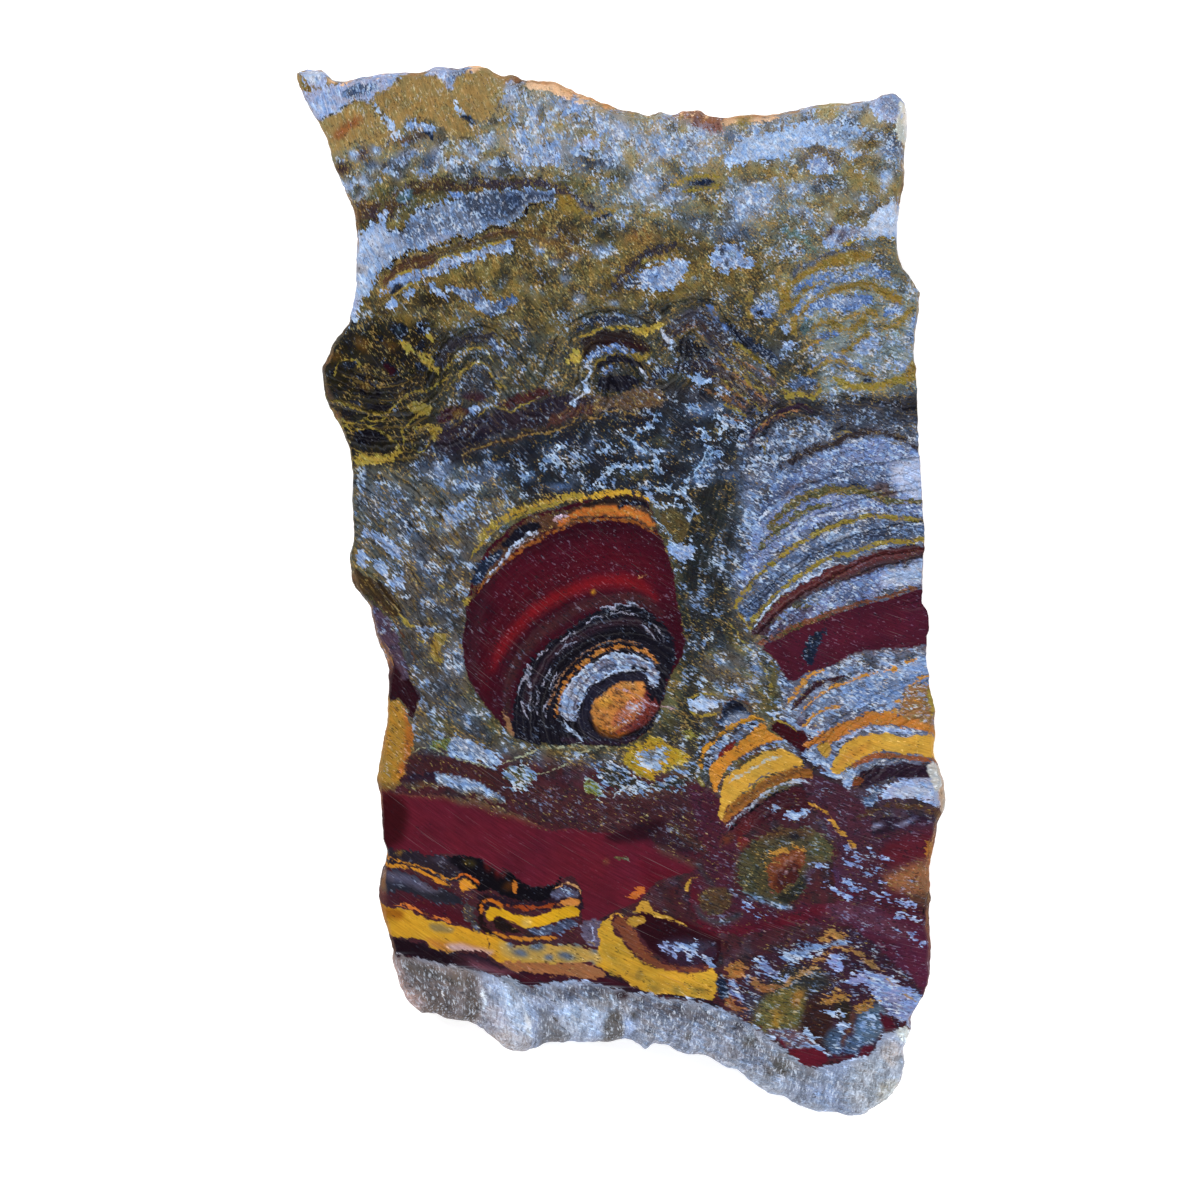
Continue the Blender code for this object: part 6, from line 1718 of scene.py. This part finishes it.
midn = net.noise(net.mixv(wall, along_mid, rock_mid.outputs[0]), detail=2.0, roughness=0.55)
f1, f2, f3 = net.split(fine.outputs["Color"])
g1, g2, g3 = net.split(midn.outputs["Color"])


def centred(value, gain):
    return net.math("MULTIPLY", net.math("SUBTRACT", value, 0.5), gain)


jag = net.math("ADD", centred(f1, 9.0), centred(g1, 13.0))

colour = net.attribute("ink0").outputs["Color"]
grains = net.attribute("grain0").outputs["Vector"]
for k in range(1, LAYERS + 1):
    inks_k = net.attribute("ink%d" % k)
    gap_k = net.attribute("gap%d" % k).outputs["Fac"]
    moved = net.math("MULTIPLY_ADD", jag, inks_k.outputs["Alpha"], gap_k)
    mask = net.ramp(moved, -0.85, 0.85)
    colour = net.mix(mask, colour, inks_k.outputs["Color"])
    grains = net.mixv(mask, grains, net.attribute("grain%d" % k).outputs["Vector"])

line_at, line_wide, _ = net.split(net.attribute("line").outputs["Vector"])
line_near = net.math("ABSOLUTE", net.math("MULTIPLY_ADD", jag, 0.62, line_at))
line_mask = net.ramp(net.math("SUBTRACT", line_wide, line_near), -0.6, 0.5)
line_mask = net.math("MULTIPLY", line_mask, net.ramp(g2, 0.38, 0.54, 0.18, 1.0))

pale_share, dark_share, ochre_share = net.split(grains)


def speck(share, noise_a, noise_b, lean=0.72, edge=0.034):
    mixed = net.math("ADD", net.math("MULTIPLY", noise_a, lean), net.math("MULTIPLY", noise_b, 1.0 - lean))
    level = net.math("MULTIPLY_ADD", net.math("SUBTRACT", share, 0.5), 0.27, net.math("SUBTRACT", mixed, 0.5))
    return net.math("MULTIPLY", net.ramp(level, -edge, edge), net.ramp(share, 0.0, 0.06))


ochre_spot = speck(ochre_share, f3, g3)
colour = net.mix(net.math("MULTIPLY", ochre_spot, 0.8), colour, net.mix(net.ramp(f1, 0.38, 0.62), tone(138, 112, 64), tone(184, 156, 96)))
dark_spot = speck(dark_share, f2, g2)
colour = net.mix(net.math("MULTIPLY", dark_spot, 0.84), colour, net.mix(0.16, net.mix(net.ramp(f3, 0.4, 0.6), tone(12, 16, 30), tone(28, 22, 22)), colour))
colour = net.mix(line_mask, colour, net.attribute("line_ink").outputs["Color"])
pale_spot = speck(pale_share, f1, g1)
# Where pale grains are few they are only a lighter shade of the bed itself.
lifted = net.node("ShaderNodeVectorMath", operation="SCALE")
net.put(lifted.inputs[0], colour)
lifted.inputs["Scale"].default_value = 2.1
pale_ink = net.mix(net.ramp(g3, 0.40, 0.62), tone(132, 154, 198), tone(214, 222, 242))
pale_ink = net.mix(net.ramp(pale_share, 0.12, 0.46, 0.10, 1.0), net.mix(0.05, lifted.outputs[0], tone(196, 202, 214)), pale_ink)
colour = net.mix(net.math("MULTIPLY", pale_spot, 0.80), colour, pale_ink)

# Every grain differs a little in shade, and some lean to blue or to brown.
grainy = net.math("MULTIPLY", net.math("ADD", net.math("ADD", pale_share, dark_share), ochre_share), 1.7, clamp=True)
grainy = net.math("MULTIPLY_ADD", grainy, 0.85, 0.15)
lean_to = net.mix(net.ramp(g1, 0.40, 0.60), tone(250, 246, 238), tone(222, 242, 255))
colour = net.mix(grainy, colour, net.mix(1.0, colour, lean_to, "MULTIPLY"))
grain_gain = net.math("MULTIPLY_ADD", grainy, net.math("ADD", net.math("ADD", centred(f2, 1.8), centred(g2, 1.1)), 0.09), 1.03)

# Quartz: columns of crystals that grew down from the beds, and a fine sparkle.
column_at = net.math("MULTIPLY_ADD", centred(g1, 1.0), 2.2, net.math("MULTIPLY", bed_at, 1 / 4.6))
crystal = net.node("ShaderNodeTexVoronoi", feature="F1")
net.put(crystal.inputs["Vector"], net.join(column_at, net.math("MULTIPLY", py, 1 / (13.0 * UNIT)), 0.0))
crystal.inputs["Scale"].default_value = 1.0
cell, cell_hue, _ = net.split(crystal.outputs["Color"])
needle = net.noise(net.join(net.math("MULTIPLY", bed_at, 1 / 1.5), net.math("MULTIPLY", py, 1 / (4.6 * UNIT)), net.math("MULTIPLY", pz, 0.3 / UNIT)), detail=2.0, roughness=0.65).outputs["Fac"]
colour = net.mix(net.math("MULTIPLY", foot_share, net.ramp(cell_hue, 0.35, 0.95, 0.0, 0.45)), colour, net.mix(1.0, colour, tone(206, 194, 182), "MULTIPLY"))
colour = net.mix(net.math("MULTIPLY", foot_share, net.ramp(needle, 0.53, 0.68, 0.0, 0.62)), colour, tone(216, 226, 244))
colour = net.mix(net.math("MULTIPLY", foot_share, net.ramp(needle, 0.47, 0.33, 0.0, 0.55)), colour, tone(96, 92, 98))
quartz_gain = net.math("MULTIPLY", foot_share, centred(cell, 0.52))

# Fine beds.
bed_noise = net.noise(None, kind="1D", w=net.math("ADD", net.math("MULTIPLY", bed_at, 1 / 3.5), centred(g3, 1.9)), detail=1.5, roughness=0.7)
bed_wave = centred(bed_noise.outputs["Fac"], 5.5)
_, _, bed_third = net.split(bed_noise.outputs["Color"])
bed_ochre = net.math("MULTIPLY", net.ramp(bed_third, 0.56, 0.64), bed_strength, clamp=True)
bed_ochre = net.math("MULTIPLY", bed_ochre, net.ramp(ochre_share, 0.02, 0.16))
bed_dark = net.math("MULTIPLY", net.math("MAXIMUM", bed_wave, 0.0), bed_strength, clamp=True)
bed_light = net.math("MULTIPLY", net.math("MAXIMUM", net.math("MULTIPLY", bed_wave, -1.0), 0.0), bed_strength, clamp=True)
colour = net.mix(bed_dark, colour, net.mix(1.0, colour, tone(96, 94, 100), "MULTIPLY"))
colour = net.mix(net.math("MULTIPLY", bed_light, 0.30), colour, net.mix(0.34, colour, tone(172, 172, 176)))
colour = net.mix(net.math("MULTIPLY", bed_ochre, 0.45), colour, tone(150, 124, 62))

# Streaks and scratches from the saw.
streak = net.noise(net.join(net.math("MULTIPLY", saw_x, 1 / 1.5), net.math("MULTIPLY", saw_y, 1 / 16.0), 3.0), detail=1.0, roughness=0.6).outputs["Fac"]
scratch = net.noise(net.join(net.math("MULTIPLY", saw_x, 1 / 0.9), net.math("MULTIPLY", saw_y, 1 / 40.0), 8.0), detail=1.0, roughness=0.5).outputs["Fac"]
scratch_mask = net.math("MULTIPLY", net.ramp(scratch, 0.65, 0.77), saw_mark)
streak_gain = net.math("MULTIPLY_ADD", net.math("MULTIPLY", centred(streak, 1.0), saw_mark), 0.9, 1.0)
streak_gain = net.math("MULTIPLY", net.math("MULTIPLY", streak_gain, net.math("MAXIMUM", grain_gain, 0.25)), net.math("ADD", quartz_gain, 1.0))
bright = net.node("ShaderNodeVectorMath", operation="SCALE")
net.put(bright.inputs[0], colour)
net.put(bright.inputs["Scale"], net.math("MULTIPLY", streak_gain, LIGHT))
colour = net.mix(net.math("MULTIPLY", scratch_mask, 0.11), bright.outputs[0], tone(176, 168, 172))

net.put(bsdf.inputs["Base Color"], colour)

rough = net.math("MULTIPLY_ADD", centred(f2, 1.0), 0.22, 0.50)
rough = net.math("MULTIPLY_ADD", pale_spot, -0.10, rough)
rough = net.math("MULTIPLY_ADD", net.math("MULTIPLY", shiny, net.ramp(g1, 0.40, 0.62)), -0.26, rough)
rough = net.math("MULTIPLY_ADD", wall, 0.14, rough)
rough = net.math("MULTIPLY_ADD", foot_share, -0.10, rough, clamp=True)
net.put(bsdf.inputs["Roughness"], rough)
bsdf.inputs["IOR"].default_value = 1.5
bsdf.inputs["Specular IOR Level"].default_value = 0.03

saw_height = net.math("MULTIPLY", net.math("ADD", net.math("MULTIPLY", streak, 0.6), net.math("MULTIPLY", scratch, -0.9)), saw_mark)
grain_height = net.math("ADD", net.math("MULTIPLY", f2, 0.8), net.math("MULTIPLY", dark_spot, -0.35))
rock_noise = net.noise(rock_mid.outputs[0], detail=4.0, roughness=0.68).outputs["Fac"]
rock_height = net.math("MULTIPLY", rock_noise, net.math("MULTIPLY_ADD", wall, 6.0, net.math("MULTIPLY", foot_share, 1.0)))
rock_height = net.math("ADD", rock_height, net.math("MULTIPLY", foot_share, net.math("ADD", net.math("MULTIPLY", cell, 1.3), net.math("MULTIPLY", needle, 1.6))))
height = net.math("ADD", saw_height, net.math("ADD", grain_height, rock_height))
bump = net.node("ShaderNodeBump")
bump.inputs["Strength"].default_value = 0.55
bump.inputs["Distance"].default_value = 0.00011
net.put(bump.inputs["Height"], height)
net.put(bsdf.inputs["Normal"], bump.outputs["Normal"])
mesh.materials.append(material)

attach(slab, "root")
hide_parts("slab")

# ---------------------------------------------------------------- floor, light, camera
floor_mesh = bpy.data.meshes.new("floor")
ring_n = 96
pts = [(0.0, 0.0, -0.00002)]
for r in (0.4, 1.2, 3.5):
    pts += [(r * math.cos(2 * math.pi * k / ring_n), r * math.sin(2 * math.pi * k / ring_n), -0.00002) for k in range(ring_n)]
polys = [(0, 1 + k, 1 + (k + 1) % ring_n) for k in range(ring_n)]
for r in range(2):
    a, b = 1 + r * ring_n, 1 + (r + 1) * ring_n
    polys += [(a + k, b + k, b + (k + 1) % ring_n, a + (k + 1) % ring_n) for k in range(ring_n)]
floor_mesh.from_pydata(pts, [], polys)
floor = bpy.data.objects.new("floor", floor_mesh)
bpy.context.scene.collection.objects.link(floor)
floor_paint = bpy.data.materials.new("floor_paint")
floor_paint.use_nodes = True
shade = floor_paint.node_tree.nodes["Principled BSDF"]
shade.inputs["Base Color"].default_value = (0.93, 0.93, 0.93, 1.0)
shade.inputs["Roughness"].default_value = 0.9
shade.inputs["Specular IOR Level"].default_value = 0.0
shade.inputs["Emission Color"].default_value = (1.0, 1.0, 1.0, 1.0)
shade.inputs["Emission Strength"].default_value = 0.35
floor_mesh.materials.append(floor_paint)

world = bpy.data.worlds.new("studio")
bpy.context.scene.world = world
world.use_nodes = True
sky = Net(world.node_tree)
world.node_tree.nodes.clear()
sky_out = sky.node("ShaderNodeOutputWorld")
sky_light = sky.node("ShaderNodeBackground")
_, _, up = sky.split(sky.node("ShaderNodeTexCoord").outputs["Generated"])
sky_light.inputs["Color"].default_value = (1.0, 1.0, 1.0, 1.0)
sky.put(sky_light.inputs["Strength"], sky.ramp(up, 0.30, 0.88, 1.9, 0.16))
world.node_tree.links.new(sky_light.outputs[0], sky_out.inputs["Surface"])


def softbox(name, where, size, power, colour=(1.0, 1.0, 1.0)):
    data = bpy.data.lights.new(name, "AREA")
    data.shape = "DISK"
    data.size = size
    data.energy = power
    data.color = colour
    lamp = bpy.data.objects.new(name, data)
    lamp.location = where
    lamp.rotation_mode = "QUATERNION"
    lamp.rotation_quaternion = (-Vector(where)).to_track_quat("-Z", "Y")
    bpy.context.scene.collection.objects.link(lamp)


softbox("key_softbox", (-0.60, 0.60, 0.80), 0.60, 8.0)
softbox("fill_softbox", (0.75, 0.30, 0.75), 0.70, 4.4)
softbox("low_softbox", (0.05, -0.85, 0.62), 0.70, 2.8)

view = bpy.context.scene.view_settings
view.view_transform = "Standard"
view.look = "None"
view.exposure = 0.0
view.gamma = 1.0

camera_data = bpy.data.cameras.new("camera")
camera = bpy.data.objects.new("camera", camera_data)
bpy.context.scene.collection.objects.link(camera)
distance = 1.0
camera_data.sensor_width = 36.0
camera_data.lens = 36.0 * distance / (1200.0 * UNIT)
camera_data.clip_start = 0.05
camera_data.clip_end = 20.0
camera.location = ((600.0 - MID_X) * UNIT, (MID_Y - 600.0) * UNIT, THICK + distance)
camera.rotation_euler = (0.0, 0.0, 0.0)
camera_data.dof.use_dof = False
bpy.context.scene.camera = camera
